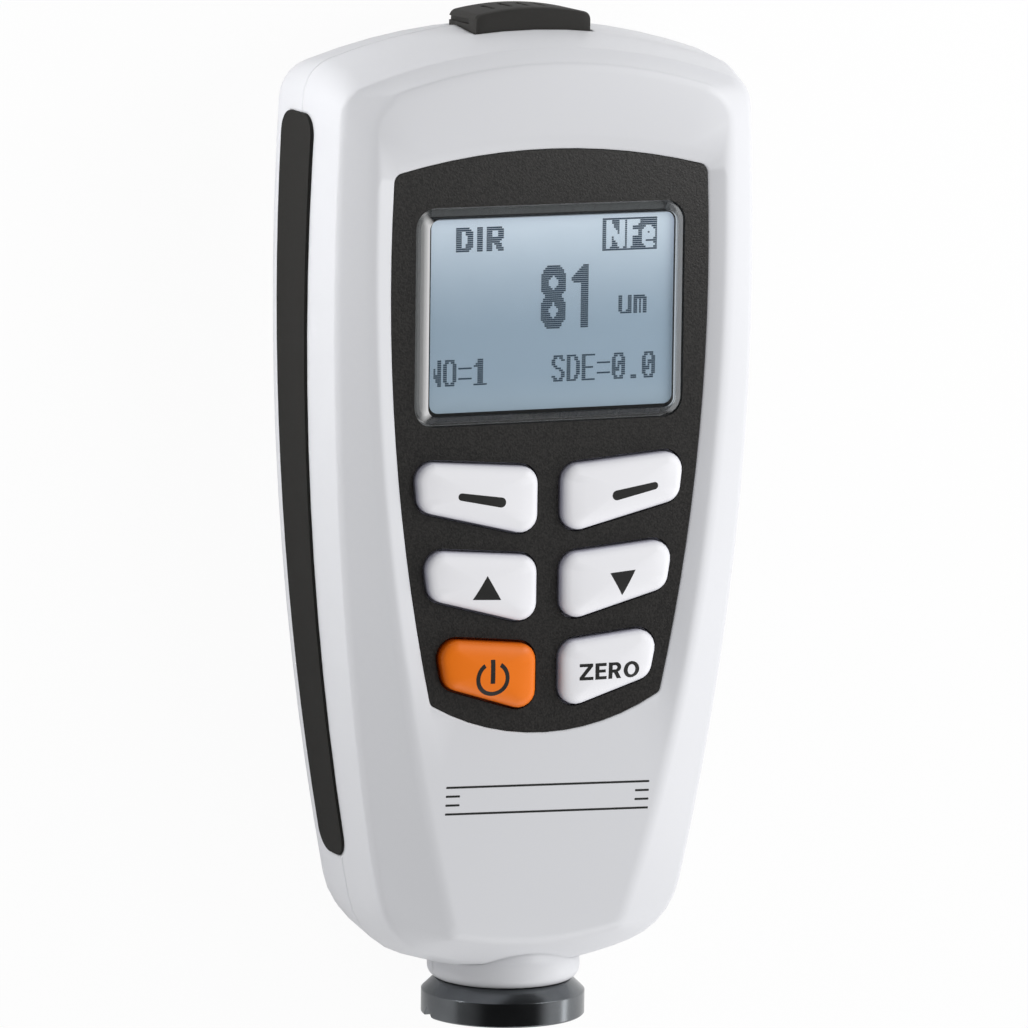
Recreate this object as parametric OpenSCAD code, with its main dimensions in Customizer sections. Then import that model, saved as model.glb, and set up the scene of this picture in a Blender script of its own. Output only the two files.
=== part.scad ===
// Hand-held coating thickness gauge, lying on its back.
// X runs across the keys, Y from the probe to the USB end, Z up out of the display.

/* [Body] */
// Length from the face of the probe sleeve to the crown of the USB cover
body_l = 110; // [104:1:124]
// Widest width of the shells, without the grips
body_w = 49.8; // [49:0.2:56]
// Height of the seam between the shells above the back
seam_z = 10.9; // [10.5:0.1:12]
// Height of the front field above the back
field_z = 21.5; // [21:0.1:24]
// Wall of the shells at the sides
wall = 2.6; // [2.4:0.1:3.2]
// Wall of the shells at the front and the back
skin_t = 1.8; // [1.6:0.1:2.2]
// Radius of the long curve of each side
side_r = 340; // [280:5:420]
// Radius of the arch across the top end
top_r = 66; // [55:1:80]
// Radius of the arch across the probe end
nose_r = 40; // [34:1:50]
// Radius of the rounded edge of the back
back_edge_r = 5; // [3.5:0.25:6]

/* [Front relief] */
// Drop of the side walls from the seam to the upper crease, seen from above
draft = 0.9; // [0.8:0.1:1.6]
// Width of the bevel between the upper crease and the ridge
bevel_w = 3.2; // [2.4:0.1:3.6]
// Height of the ridge above the panel
ridge_h = 0.6; // [0.3:0.1:1]
// Height of the bevel at the top end
bevel_h = 1.7; // [1.2:0.1:2.4]
// Distance from the top arch to the top edge of the panel
brow = 12.8; // [11:0.2:15]

/* [Panel] */
// Length of the panel along the middle
panel_l = 62.7; // [60:0.1:66]
// Border between the widest part of the shell and the edge of the panel
panel_border = 6.6; // [6:0.1:7.2]
// Thickness of the panel
panel_t = 1.2; // [1:0.1:1.6]
// Ledge of the shell under the edge of the panel
panel_ledge = 0.9; // [0.6:0.1:1]
// Clearance around the panel in its pocket
panel_fit = 0.08; // [0.05:0.01:0.2]

/* [Display] */
// Border between the window and the side of the panel
window_border = 3; // [2.6:0.1:4]
// Height of the window
window_h = 22.9; // [20:0.1:23.4]
// Distance from the top edge of the panel to the window
window_drop = 6.1; // [5.5:0.1:7]
// Rise of the window above the panel
window_rise = 0.9; // [0.6:0.1:1.2]
// Width of the bevelled edge of the window
window_bevel = 0.95; // [0.6:0.05:1.4]
// Thickness of the display glass
glass_t = 1.6; // [1.2:0.1:2]
// Thickness of the backlight
backlight_t = 1.8; // [1.4:0.1:2.2]

/* [Keys] */
// Distance between one row of keys and the next
key_pitch = 9.55; // [9.3:0.05:10]
// Height of a key at its inner edge
key_h = 7.5; // [6.8:0.1:7.8]
// Gap between the left and right keys
key_gap = 2.9; // [2.4:0.1:4]
// Distance from the outer edge of a key to the edge of the panel
key_border = 1.8; // [1.6:0.1:2.4]
// Rise of a key above the panel
key_rise = 1.4; // [1.1:0.1:1.8]
// Radius of the corners of a key
key_r = 1.9; // [1.5:0.1:2.2]
// Travel of a key
key_travel = 0.8; // [0.5:0.1:1]
// Clearance around a key in the panel
key_fit = 0.3; // [0.2:0.05:0.4]

/* [Grips] */
// Width of a grip at its upper end
grip_w = 8.6; // [7:0.2:9]
// Width of a grip at its lower end
grip_low_w = 6.6; // [6:0.2:8]
// Length of a grip
grip_l = 80.6; // [70:0.2:82]
// Thickness of a grip
grip_t = 1.3; // [1:0.1:1.5]
// Height of a grip above the side wall
grip_proud = 0.2; // [0.1:0.05:0.4]

/* [Probe] */
// Diameter of the sleeve band
sleeve_d = 17.8; // [16.8:0.1:18]
// Height of the sleeve band
sleeve_band = 2.6; // [2.2:0.1:2.8]
// Diameter of the collar that the sleeve leaves
collar_d = 16.6; // [16:0.1:17]
// Diameter of the sleeve inside the collar
stem_d = 13.2; // [12.6:0.1:13.6]
// Diameter of the sprung plunger
plunger_d = 9.8; // [9:0.1:10.2]
// Diameter of the measuring tip
tip_d = 6; // [5:0.1:7]
// Distance the tip stands out of the sleeve at rest
tip_proud = 1; // [0.6:0.1:1.2]
// Travel of the plunger
probe_travel = 1.5; // [1:0.1:2]
// Running clearance of the plunger on its radius
probe_fit = 0.05; // [0.03:0.01:0.08]
// Depth of the V groove in the sleeve face
groove_depth = 1.2; // [0.6:0.1:1.4]

/* [Power] */
// Diameter of a cell
cell_d = 10.4; // [10:0.1:10.6]
// Length of a cell with its button
cell_l = 44.5; // [44:0.1:45]
// Thickness of the battery cover
cover_t = 1.8; // [1.5:0.1:1.9]
// Clearance around the battery cover
cover_fit = 0.1; // [0.05:0.05:0.2]

/* [USB end] */
// Width of the dust cover
cap_w = 13.5; // [12:0.1:15]
// Depth of the dust cover from front to back
cap_d = 7.8; // [7:0.1:8.4]
// Height of the dust cover crown above the top arch
cap_proud = 1.8; // [1.4:0.1:2.4]
// Width of the USB socket
usb_w = 7.7; // [7.4:0.1:8.2]
// Height of the USB socket
usb_h = 3.9; // [3.6:0.1:4.2]

/* [Board and screws] */
// Thickness of the circuit board
board_t = 1.2; // [1:0.1:1.6]
// Diameter of the case screws
screw_d = 2.2; // [2:0.1:2.6]

/* [Hidden] */
$fn = 64;

pearl = [0.86, 0.87, 0.89];
rubber_black = [0.13, 0.13, 0.12];
panel_black = [0.16, 0.16, 0.16];
key_white = [0.92, 0.92, 0.95];
key_orange = [0.93, 0.47, 0.04];
nickel = [0.75, 0.75, 0.72];

// Small overlap that lets cuts pass through a face
eps = 0.01;
// Length that reaches past the whole part
far = 2 * body_l;

// Distances along Y are taken from the face of the sleeve, and shifted to the middle of the part
mid_y = (body_l - tip_proud) / 2;
top_y = body_l - cap_proud;
half_w = body_w / 2;
nose_y = 5.4;
// Run from the nose to the widest place of the shells
widest_run = 75.6;
wide_y = nose_y + widest_run;

// Panel, display and keys hang from the top arch
panel_top = top_y - brow;
panel_low = panel_top - panel_l;
panel_half = half_w - panel_border;
panel_side_r = 211;
panel_widest = 13.4;
panel_wide_y = panel_top - panel_widest;
panel_arch_r = 72;
panel_foot_r = 26;
panel_back = field_z - panel_t;
ledge_t = 1;
ceiling_z = panel_back - ledge_t;
window_w = 2 * (panel_half - window_border);
window_r = 2;
window_fit = 0.25;
window_top = panel_top - window_drop;
window_y = window_top - window_h / 2;

// Stack from the battery cover to the circuit board
cover_gap = 0.05;
pocket_z = cover_t + cover_gap;
pocket_floor = 1.35;
cell_gap = 0.3;
cell_z = pocket_z + cell_gap + cell_d / 2;
bay_top = cell_z + cell_d / 2 + cell_gap;
bay_roof = 1;
board_gap = 0.2;
board_low = bay_top + bay_roof + board_gap;
board_top = board_low + board_t;

// Points of an arc about c, from angle a to angle b
function arc(c, r, a, b, n) = [for (i = [0:n]) c + r * [cos(a + (b - a) * i / n), sin(a + (b - a) * i / n)]];
function heading(v) = atan2(v.y, v.x);
function tail(v) = [for (i = [1:len(v) - 1]) v[i]];

// Point at distance ra from a and rb from b, on the left of the line from a to b for side 1
function meet(a, ra, b, rb, side) =
    let (d = norm(b - a), u = (b - a) / d, s = (ra * ra - rb * rb + d * d) / (2 * d))
    a + s * u + side * sqrt(ra * ra - s * s) * [-u.y, u.x];

// Half of a closed outline of tangent arcs, from the middle of its foot to the middle of its top.
// A side arc of radius rs is widest, at w, at height yw; rt and rb are the arches at yt and yb,
// and ft and fb are the corner fillets.
arch_steps = 6;
fillet_steps = 5;
side_steps = 14;
function half_outline(w, yw, rs, yt, rt, ft, yb, rb, fb) =
    let (cs = [w - rs, yw], ct = [0, yt - rt], cb = [0, yb + rb],
         kt = meet(cs, rs - ft, ct, rt - ft, 1), kb = meet(cs, rs - fb, cb, rb - fb, -1),
         a1 = heading(kb - cb), a2 = heading(kb - cs), a3 = heading(kt - cs), a4 = heading(kt - ct))
    concat(arc(cb, rb, -90, a1, arch_steps), tail(arc(kb, fb, a1, a2, fillet_steps)),
           tail(arc(cs, rs, a2, a3, side_steps)), tail(arc(kt, ft, a3, a4, fillet_steps)),
           tail(arc(ct, rt, a4, 90, arch_steps)));
function both_sides(h) = concat(h, [for (i = [len(h) - 2:-1:1]) [-h[i].x, h[i].y]]);
function outline(w, yw, rs, yt, rt, ft, yb, rb, fb) =
    both_sides(half_outline(w, yw, rs, yt, rt, ft, yb, rb, fb));

// Outline of the shells at the seam, drawn in by d at the sides, dt at the top and db at the nose
seam_groove = 0.15;
corner_r = 4.5;
nose_corner_r = 9;
panel_corner_r = 1;
panel_foot_corner_r = 0.8;
least_r = 0.3;
function shell_ring(d, dt, db) =
    outline(half_w - d, wide_y, side_r - d, top_y - dt, top_r - dt, max(least_r, corner_r - d),
            nose_y + db, nose_r - db, max(least_r, nose_corner_r - d));
function panel_ring(d) =
    outline(panel_half - d, panel_wide_y, panel_side_r - d,
            panel_top - d, panel_arch_r - d, max(least_r, panel_corner_r - d),
            panel_low + d, panel_foot_r - d, max(least_r, panel_foot_corner_r - d));
// Half width of the shells and of the panel at distance y
function side_x(y) = half_w - side_r + sqrt(side_r * side_r - pow(y - wide_y, 2));
function panel_x(y) =
    panel_half - panel_side_r + sqrt(panel_side_r * panel_side_r - pow(y - panel_wide_y, 2));

// Heights over the front: the field falls away to the nose, the ridge fades out below the panel
fall_gap = 2.7;
fall_y = panel_low - fall_gap;
field_drop = 2.24;
fade_l = 10;
crease_level = 38.2;
crease_y = top_y - crease_level;
crease_drop = 2.7;
ceiling_lead = 6;
ceiling_y = panel_low + ceiling_lead;
ceiling_drop = 2;
// Share of the way from a distance y0 down to the nose
function to_nose(y, y0) = max(0, y0 - y) / (y0 - nose_y);
function field_at(y) = field_z - field_drop * pow(to_nose(y, fall_y), 2);
function fade_at(y) = let (t = min(1, max(0, (y - fall_y) / fade_l))) t * t * (3 - 2 * t);
function ridge_at(y) = field_at(y) + ridge_h * fade_at(y);
function crease_at(y) = field_z + ridge_h - bevel_h - crease_drop * pow(to_nose(y, crease_y), 1.5);
// Share by which the crease takes the softer shape of the top end
top_run = 8;
top_blend = 6;
function top_share(y) = let (t = min(1, max(0, (y - top_y + top_run) / top_blend))) t * t * (3 - 2 * t);
function ceiling_at(y) = ceiling_z - field_z + field_at(y) - ceiling_drop * to_nose(y, ceiling_y);

// Rings over the front, from the seam to the field
crease_round = 0.5;
ridge_round = 0.6;
ridge_half = half_w - draft - bevel_w;
ridge_side_r = 259;
ridge_widest = 23.2;
ridge_wide_y = top_y - ridge_widest;
ridge_arch_r = top_r - 6;
ridge_corner_r = 4;
ridge_foot = 4.2;
ridge_foot_r = 1.5;
top_draft = 2;
nose_draft = 1.3;
bevel_top = 2.2;
recess_wall = 1.6;
recess_corner_r = 2.2;
recess_foot = 5.6;
recess_foot_r = 1.3;
panel_edge = 0.15;
function ridge_ring(d, dt) =
    outline(ridge_half - d, ridge_wide_y, ridge_side_r - d,
            top_y - top_draft - bevel_top - dt, ridge_arch_r, ridge_corner_r - d,
            nose_y + ridge_foot + d, nose_r, ridge_foot_r);
// The sides of the recess flatten as it widens, so that it runs out into the field at the nose
function recess_ring(d, f) =
    outline(panel_half + d, panel_wide_y + 2 * d, panel_side_r + 30 * d, panel_top + d, panel_arch_r, f,
            nose_y + recess_foot - d / 2, nose_r, recess_foot_r);

function at_z(ring, z) = [for (p = ring) [p.x, p.y, z]];
function flipped(ring) = [for (p = ring) [-p.x, p.y, p.z]];

// Solid lofted through rings of equal length that are symmetric about X = 0
module loft(rings) {
    n = len(rings[0]);
    m = n / 2;
    last = (len(rings) - 1) * n;
    points = [for (r = rings) for (p = r) p];
    sides = [
        for (k = [0:len(rings) - 2]) for (i = [0:n - 1])
            let (a = k * n + i, b = k * n + (i + 1) % n)
            each [[a, a + n, b + n], [a, b + n, b]]
    ];
    first_cap = concat([[0, 1, n - 1]], [for (i = [1:m - 2]) [i, i + 1, n - i - 1, n - i]],
                       [[m - 1, m, m + 1]]);
    last_cap = [for (f = first_cap) [for (i = [len(f) - 1:-1:0]) last + f[i]]];
    polyhedron(points, concat(first_cap, sides, last_cap));
}

// Tube of n sides swept along points
module sweep(path, r, n) {
    count = len(path);
    function unit(v) = v / norm(v);
    function along(i) = unit(path[min(count - 1, i + 1)] - path[max(0, i - 1)]);
    function across(t) = unit(cross(t, abs(t.y) < 0.9 ? [0, 1, 0] : [0, 0, 1]));
    points = [
        for (i = [0:count - 1])
            let (t = along(i), a = across(t), b = cross(t, a))
            for (k = [0:n - 1]) path[i] + r * (cos(360 * k / n) * a + sin(360 * k / n) * b)
    ];
    sides = [
        for (i = [0:count - 2]) for (k = [0:n - 1])
            let (p = i * n + k, q = i * n + (k + 1) % n)
            each [[p, p + n, q + n], [p, q + n, q]]
    ];
    ends = [[for (k = [0:n - 1]) k], [for (k = [n - 1:-1:0]) (count - 1) * n + k]];
    polyhedron(points, concat(sides, ends));
}

// Corner points of a polygon with rounded corners, each with the outward direction there
function rounded(pts, r, n) = [
    for (i = [0:len(pts) - 1])
        let (p = pts[i], u = pts[(i + len(pts) - 1) % len(pts)] - p, v = pts[(i + 1) % len(pts)] - p,
             a = u / norm(u), b = v / norm(v), half = acos(a * b) / 2,
             c = p + (a + b) / norm(a + b) * r / sin(half),
             from = heading(p + a * r / tan(half) - c), turn = 180 - 2 * half)
        for (k = [0:n]) let (g = from + turn * k / n) [c.x + r * cos(g), c.y + r * sin(g), cos(g), sin(g)]
];
function grown(ring, d) = [for (p = ring) [p[0] + d * p[2], p[1] + d * p[3]]];
function box_points(w, h) = [[-w / 2, -h / 2], [w / 2, -h / 2], [w / 2, h / 2], [-w / 2, h / 2]];
module rounded_box(w, h, r, t) {
    linear_extrude(t) polygon(grown(rounded(box_points(w, h), r, 8), 0));
}

module placed() {
    translate([0, -mid_y, 0]) children();
}
// Stands a revolved shape on the probe axis, with its Z along +Y
module on_probe_axis() {
    translate([0, 0, seam_z]) rotate([-90, 0, 0]) children();
}
module above_seam() {
    intersection() {
        children();
        translate([-far, -far, seam_z]) cube([2 * far, 2 * far, far]);
    }
}
module below_seam() {
    intersection() {
        children();
        translate([-far, -far, seam_z - far]) cube([2 * far, 2 * far, far]);
    }
}

// Collar at the nose that both shells share
collar_low = 4;
collar_edge = 1.3;
collar_root = 5;
collar_straight = 1.1;
collar_taper = 2;
module collar_solid() {
    r = collar_d / 2;
    on_probe_axis() rotate_extrude() polygon(concat(
        [[0, collar_low]],
        arc([r - collar_edge, collar_low + collar_edge], collar_edge, -90, 0, 8),
        [[r, nose_y + collar_straight], [r - collar_taper, nose_y + collar_root], [0, nose_y + collar_root]]));
}
stem_fit = 0.05;
flange_w = 1.2;
flange_d = stem_d + 2 * flange_w;
flange_low = 8.5;
flange_t = 2;
sleeve_end = 19;
plug_head = 1.5;
bore_spare = 1;
module probe_bore() {
    on_probe_axis() {
        cylinder(d = stem_d + 2 * stem_fit, h = sleeve_end + plug_head + bore_spare);
        translate([0, 0, flange_low - stem_fit])
            cylinder(d = flange_d + 2 * stem_fit, h = flange_t + 2 * stem_fit);
    }
}

// Strip that follows one side, from radius offset a to b, drawn out by f at its outline
grip_drop = 9.2;
grip_top = top_y - grip_drop;
grip_sink = 5.2;
grip_z = seam_z - grip_sink;
grip_points = [[grip_top - grip_l, grip_z], [grip_top, grip_z], [grip_top, grip_z + grip_w],
               [grip_top - grip_l, grip_z + grip_low_w]];
grip_corner = 2.4;
grip_fit = 0.05;
side_fn = 720;
module side_strip(side, a, b, f) {
    mirror([side < 0 ? 1 : 0, 0, 0]) intersection() {
        rotate([90, 0, 90]) linear_extrude(far) polygon(grown(rounded(grip_points, grip_corner, 8), f));
        difference() {
            translate([half_w - side_r, wide_y, 0]) cylinder(r = side_r + b, h = field_z, $fn = side_fn);
            translate([half_w - side_r, wide_y, -eps])
                cylinder(r = side_r + a, h = field_z + 2 * eps, $fn = side_fn);
        }
    }
}
module both_strips(a, b, f) {
    for (side = [-1, 1]) side_strip(side, a, b, f);
}

// Seat of the dust cover and way through to the socket
cap_lift = 1.3;
cap_z = seam_z + cap_lift;
cap_sink = 1.3;
cap_seat = top_y - cap_sink;
cap_fit = 0.15;
usb_mouth_fit = 0.3;
usb_way_l = 8;
module usb_way() {
    translate([-cap_w / 2 - cap_fit, cap_seat, cap_z - cap_d / 2 - cap_fit])
        cube([cap_w + 2 * cap_fit, far, cap_d + 2 * cap_fit]);
    translate([-usb_w / 2 - usb_mouth_fit, top_y - usb_way_l, board_low - usb_h - usb_mouth_fit])
        cube([usb_w + 2 * usb_mouth_fit, far, usb_h + 2 * usb_mouth_fit]);
}

// Battery bay and the cover over it
bay_low = 26;
plate_t = 0.4;
spring_l = 5.7;
bay_l = cell_l + spring_l + 2 * plate_t;
cell_spread = 0.5;
cell_pitch = cell_d + cell_spread;
bay_half = cell_pitch / 2 + cell_d / 2 + cell_gap;
bay_wall = 1.2;
tongue_w = 0.8;
tongue_t = 0.8;
tongue_z = 0.7;
cover_lap = 0.5;
cover_half = bay_half + cover_lap;
cover_end = 2.6;
cover_top = bay_low + bay_l + cover_end;
pocket_edge = 1.6;
pocket_low = 4;

// Screws: two pairs join the shells, two pairs hold the board to the front
boss_r = 2.6;
boss_sink = 0.3;
head_r = 2.1;
head_t = 1.4;
head_seat = 3;
head_fit = 0.2;
screw_fit = 0.2;
screw_bite = 6;
screw_tip = 0.5;
case_drop = 11.2;
case_inset = 5.8;
case_pitch = 8;
case_gap = 0.6;
board_boss_r = 2;
board_screw_d = 1.8;
board_bite = 2.6;
board_drop = 9.4;
board_rise = 5.3;
board_out = 1.4;
// Board screws stand just outside the opening for the panel
board_low_y = panel_low + board_rise;
board_spots = [
    for (s = [-1, 1]) for (y = [panel_top - board_drop, board_low_y]) [s * (panel_x(y) + board_out), y]
];
// Upper case screws stand in from the side walls, lower ones out from the battery cover
case_high = [side_x(top_y - case_drop) - case_inset, top_y - case_drop];
case_low = [cover_half + tongue_w + head_r + head_fit + case_gap, board_low_y - case_pitch];
case_spots = [for (s = [-1, 1]) for (p = [case_high, case_low]) [s * p.x, p.y]];

module at_spots(spots, z) {
    for (p = spots) translate([p.x, p.y, z]) children();
}

end_wall = 3;
nose_wall = 7.6;
inner_corner = 3;
inner_taper = 1.6;
inner_round = 2.6;
floor_taper = 3;
floor_round = 4;
function inner_ring(d) =
    outline(half_w - d, wide_y, side_r - d, top_y - end_wall - (d - wall), top_r, inner_corner,
            nose_y + nose_wall, nose_r, inner_corner);

module front_shell() {
    color(pearl) placed() {
        difference() {
            union() {
                front_skin();
                above_seam() collar_solid();
                for (p = case_spots) translate([p.x, p.y, seam_z])
                    cylinder(r = boss_r, h = ceiling_at(p.y) + boss_sink - seam_z);
                at_spots(board_spots, board_top)
                    cylinder(r = board_boss_r, h = ceiling_z + boss_sink - board_top);
            }
            probe_bore();
            translate([0, 0, panel_back]) linear_extrude(far) polygon(panel_ring(-panel_fit));
            translate([0, 0, seam_z]) linear_extrude(far) polygon(panel_ring(panel_ledge));
            both_strips(-grip_t, far, 0);
            usb_way();
            at_spots(case_spots, seam_z - eps) cylinder(d = screw_d, h = screw_bite + eps);
            at_spots(board_spots, board_top - eps) cylinder(d = board_screw_d, h = board_bite + eps);
        }
    }
}

// Outer and inner skin of the front in one loft, from the ceiling down, round the rim and up to the field
module front_skin() {
    c = crease_round;
    r = ridge_round;
    // The side walls lean in more towards the crease: this share of the draft at this share of the height
    mid_draft = 0.3;
    mid_height = 0.6;
    loft([
        [for (p = inner_ring(wall + inner_taper)) [p.x, p.y, ceiling_at(p.y)]],
        [for (p = inner_ring(wall)) [p.x, p.y, ceiling_at(p.y) - inner_round]],
        at_z(inner_ring(wall), seam_z),
        at_z(shell_ring(seam_groove, seam_groove, seam_groove), seam_z),
        at_z(shell_ring(0, 0, 0), seam_z + seam_groove),
        [for (p = shell_ring(draft * mid_draft, top_draft * mid_draft, nose_draft * mid_draft))
            [p.x, p.y, seam_z + (crease_at(p.y) - seam_z) * mid_height]],
        [for (p = shell_ring(draft - c / 2, top_draft - c * 0.55, nose_draft - c * 0.4))
            [p.x, p.y, crease_at(p.y) - c * (1 + 1.6 * top_share(p.y))]],
        [for (p = shell_ring(draft + c * 0.1, top_draft + c * 0.25, nose_draft + c * 0.2))
            [p.x, p.y, crease_at(p.y) - c * 0.2]],
        [for (p = shell_ring(draft + c * 0.9, top_draft + c * 1.8, nose_draft + c))
            [p.x, p.y, crease_at(p.y) + c * (0.4 + 0.9 * top_share(p.y))]],
        [for (p = ridge_ring(-r, -r)) [p.x, p.y, ridge_at(p.y) - r * 0.4]],
        [for (p = ridge_ring(r / 2, r * 0.7)) [p.x, p.y, ridge_at(p.y)]],
        [for (p = recess_ring(recess_wall, recess_corner_r)) [p.x, p.y, ridge_at(p.y)]],
        [for (p = recess_ring(panel_edge, panel_corner_r)) [p.x, p.y, field_at(p.y)]]
    ]);
}

// Back edge of the rear shell as rings from the back up to the seam
back_steps = 6;
// Lean of the end walls, as the distance by which they stand in at the back
back_lean_top = 1;
back_lean_nose = 1.6;
function back_ring(k) =
    let (a = 90 * k / back_steps, d = back_edge_r * (1 - sin(a)), z = back_edge_r * (1 - cos(a)),
         t = 1 - z / seam_z)
    [for (p = shell_ring(d, d + back_lean_top * t, d + back_lean_nose * t)) [p.x, p.y, z]];
seam_rings = [
    at_z(shell_ring(0, 0, 0), seam_z - seam_groove),
    at_z(shell_ring(seam_groove, seam_groove, seam_groove), seam_z)
];
module rear_block() {
    loft(concat([for (k = [0:back_steps]) back_ring(k)], seam_rings));
}
module rear_skin() {
    loft([for (r = concat(
        [at_z(inner_ring(wall + floor_taper), skin_t), at_z(inner_ring(wall), skin_t + floor_round),
         at_z(inner_ring(wall), seam_z), seam_rings[1], seam_rings[0]],
        [for (k = [back_steps:-1:0]) back_ring(k)])) flipped(r)]);
}

module rear_shell() {
    color(pearl) placed() {
        difference() {
            union() {
                rear_skin();
                below_seam() collar_solid();
                translate([-cover_half - pocket_edge, nose_y + pocket_low, pocket_z - eps])
                    cube([2 * (cover_half + pocket_edge), cover_top + pocket_edge - nose_y - pocket_low,
                          pocket_floor + eps]);
                translate([-bay_half - bay_wall, bay_low - bay_wall, pocket_z])
                    cube([2 * (bay_half + bay_wall), bay_l + 2 * bay_wall, bay_top + bay_roof - pocket_z]);
                at_spots(case_spots, skin_t - boss_sink)
                    cylinder(r = boss_r, h = seam_z - skin_t + boss_sink);
            }
            probe_bore();
            translate([-bay_half, bay_low, -eps]) cube([2 * bay_half, bay_l, bay_top + eps]);
            cover_shape(cover_fit, far, pocket_z);
            both_strips(-grip_t, far, 0);
            usb_way();
            // Room for the heads of the board screws
            at_spots(board_spots, board_low - head_t - head_fit)
                cylinder(r = board_boss_r + head_fit, h = far);
            at_spots(case_spots, -eps) {
                cylinder(r = head_r + head_fit, h = head_seat + eps);
                cylinder(d = screw_d + 2 * screw_fit, h = seam_z + 2 * eps);
            }
        }
    }
}

// Block of the battery cover with its side tongues, drawn out by f and running past the nose by reach
module cover_shape(f, reach, t) {
    translate([-cover_half - f, nose_y - reach, -eps])
        cube([2 * (cover_half + f), cover_top + f - nose_y + reach, t + eps]);
    translate([-cover_half - tongue_w - f, nose_y - reach, tongue_z - f])
        cube([2 * (cover_half + tongue_w + f), cover_top + f - nose_y + reach, tongue_t + 2 * f]);
}
module battery_cover() {
    ridge_n = 6;
    ridge_pitch = 2.2;
    ridge_w = 1;
    ridge_deep = 0.5;
    ridge_drop = 6;
    color(pearl) placed() difference() {
        intersection() {
            rear_block();
            cover_shape(0, 0, cover_t);
        }
        for (i = [0:ridge_n - 1])
            translate([-cover_half / 2, cover_top - ridge_drop - i * ridge_pitch, -eps])
                cube([cover_half, ridge_w, ridge_deep + eps]);
    }
}

module left_grip() {
    color(rubber_black) placed() side_strip(-1, -grip_t, grip_proud, -grip_fit);
}
module right_grip() {
    color(rubber_black) placed() side_strip(1, -grip_t, grip_proud, -grip_fit);
}

// Corner points of a right-hand key: its outer edge follows the side of the panel
key_slope_low = 3.3;
key_slope_top = 1.1;
key_foot = 2.2;
key_inner = key_gap / 2;
function key_y(row) = panel_low + key_foot + (2 - row) * key_pitch;
function key_points(row) =
    let (y = key_y(row), lo = y + key_slope_low, hi = y + key_h + key_slope_top)
    [[key_inner, y], [panel_x(lo) - key_border, lo], [panel_x(hi) - key_border, hi], [key_inner, y + key_h]];
key_arc = 6;
function key_outline(row) = rounded(key_points(row), key_r, key_arc);
function key_middle(row) = let (p = key_points(row)) (p[0] + p[1] + p[2] + p[3]) / 4;

key_flange = 0.5;
key_flange_t = 0.8;
key_under = panel_back - cover_gap - key_flange_t;
module key_cap(row) {
    ring = key_outline(row);
    c = key_middle(row);
    // Inset and height above the panel of each ring of the pillowed top
    steps = [[0, 0.45], [0.12, 0.75], [0.45, 1.0], [1, 1.18]];
    rise = key_rise / 1.4;
    top_ring = grown(ring, -1);
    n = len(ring);
    rings = concat(
        [at_z(grown(ring, key_flange), key_under), at_z(grown(ring, key_flange), panel_back - cover_gap),
         at_z(grown(ring, 0), panel_back - cover_gap)],
        [for (s = steps) at_z(grown(ring, -s[0]), field_z + rise * s[1])],
        [for (s = [[0.75, 1.3], [0.4, 1.38]]) [for (p = top_ring)
            [c.x + s[0] * (p.x - c.x), c.y + s[0] * (p.y - c.y), field_z + rise * s[1]]]]);
    last = (len(rings) - 1) * n;
    points = concat([for (r = rings) for (p = r) p], [[c.x, c.y, field_z + key_rise]]);
    polyhedron(points, concat(
        [[for (i = [0:n - 1]) i]],
        [for (k = [0:len(rings) - 2]) for (i = [0:n - 1])
            let (a = k * n + i, b = k * n + (i + 1) % n)
            each [[a, a + n, b + n], [a, b + n, b]]],
        [for (i = [0:n - 1]) [last + i, len(points) - 1, last + (i + 1) % n]]));
}
module left_key(row) {
    mirror([1, 0, 0]) key_cap(row);
}
module left_soft_key() {
    color(key_white) placed() left_key(0);
}
module right_soft_key() {
    color(key_white) placed() key_cap(0);
}
module up_key() {
    color(key_white) placed() left_key(1);
}
module down_key() {
    color(key_white) placed() key_cap(1);
}
module power_key() {
    color(key_orange) placed() left_key(2);
}
module zero_key() {
    color(key_white) placed() key_cap(2);
}

// Repeats its children at the six keys, with the number of the row in $row
module each_key() {
    for ($row = [0:2]) for (side = [0, 1]) mirror([side, 0, 0]) children();
}

// One silicone moulding: a sheet on the board with a hollow pad under each key
mat_t = 1.2;
mat_fit = 0.3;
mat_gap = 0.4;
pad_inset = 1.4;
pad_wall = 0.4;
module keypad_mat() {
    mat_high = window_y - window_h / 2 - lcd_border - mat_gap;
    color([0.55, 0.56, 0.58]) placed() {
        difference() {
            union() {
                translate([0, 0, board_top]) linear_extrude(mat_t) intersection() {
                    polygon(panel_ring(panel_ledge + mat_fit));
                    translate([-far, mat_high - far]) square([2 * far, far]);
                }
                each_key() translate([0, 0, board_top + mat_t - eps])
                    linear_extrude(key_under - board_top - mat_t + eps)
                        polygon(grown(key_outline($row), -pad_inset));
            }
            each_key() translate([0, 0, board_top - eps]) linear_extrude(key_travel + eps)
                polygon(grown(key_outline($row), -pad_inset - pad_wall));
        }
    }
}

window_outline = rounded(box_points(window_w, window_h), window_r, 8);
module front_panel() {
    color(panel_black) placed() translate([0, 0, panel_back]) linear_extrude(panel_t) difference() {
        polygon(panel_ring(0));
        translate([0, window_y]) polygon(grown(window_outline, window_fit));
        each_key() polygon(grown(key_outline($row), key_fit));
    }
}

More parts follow.
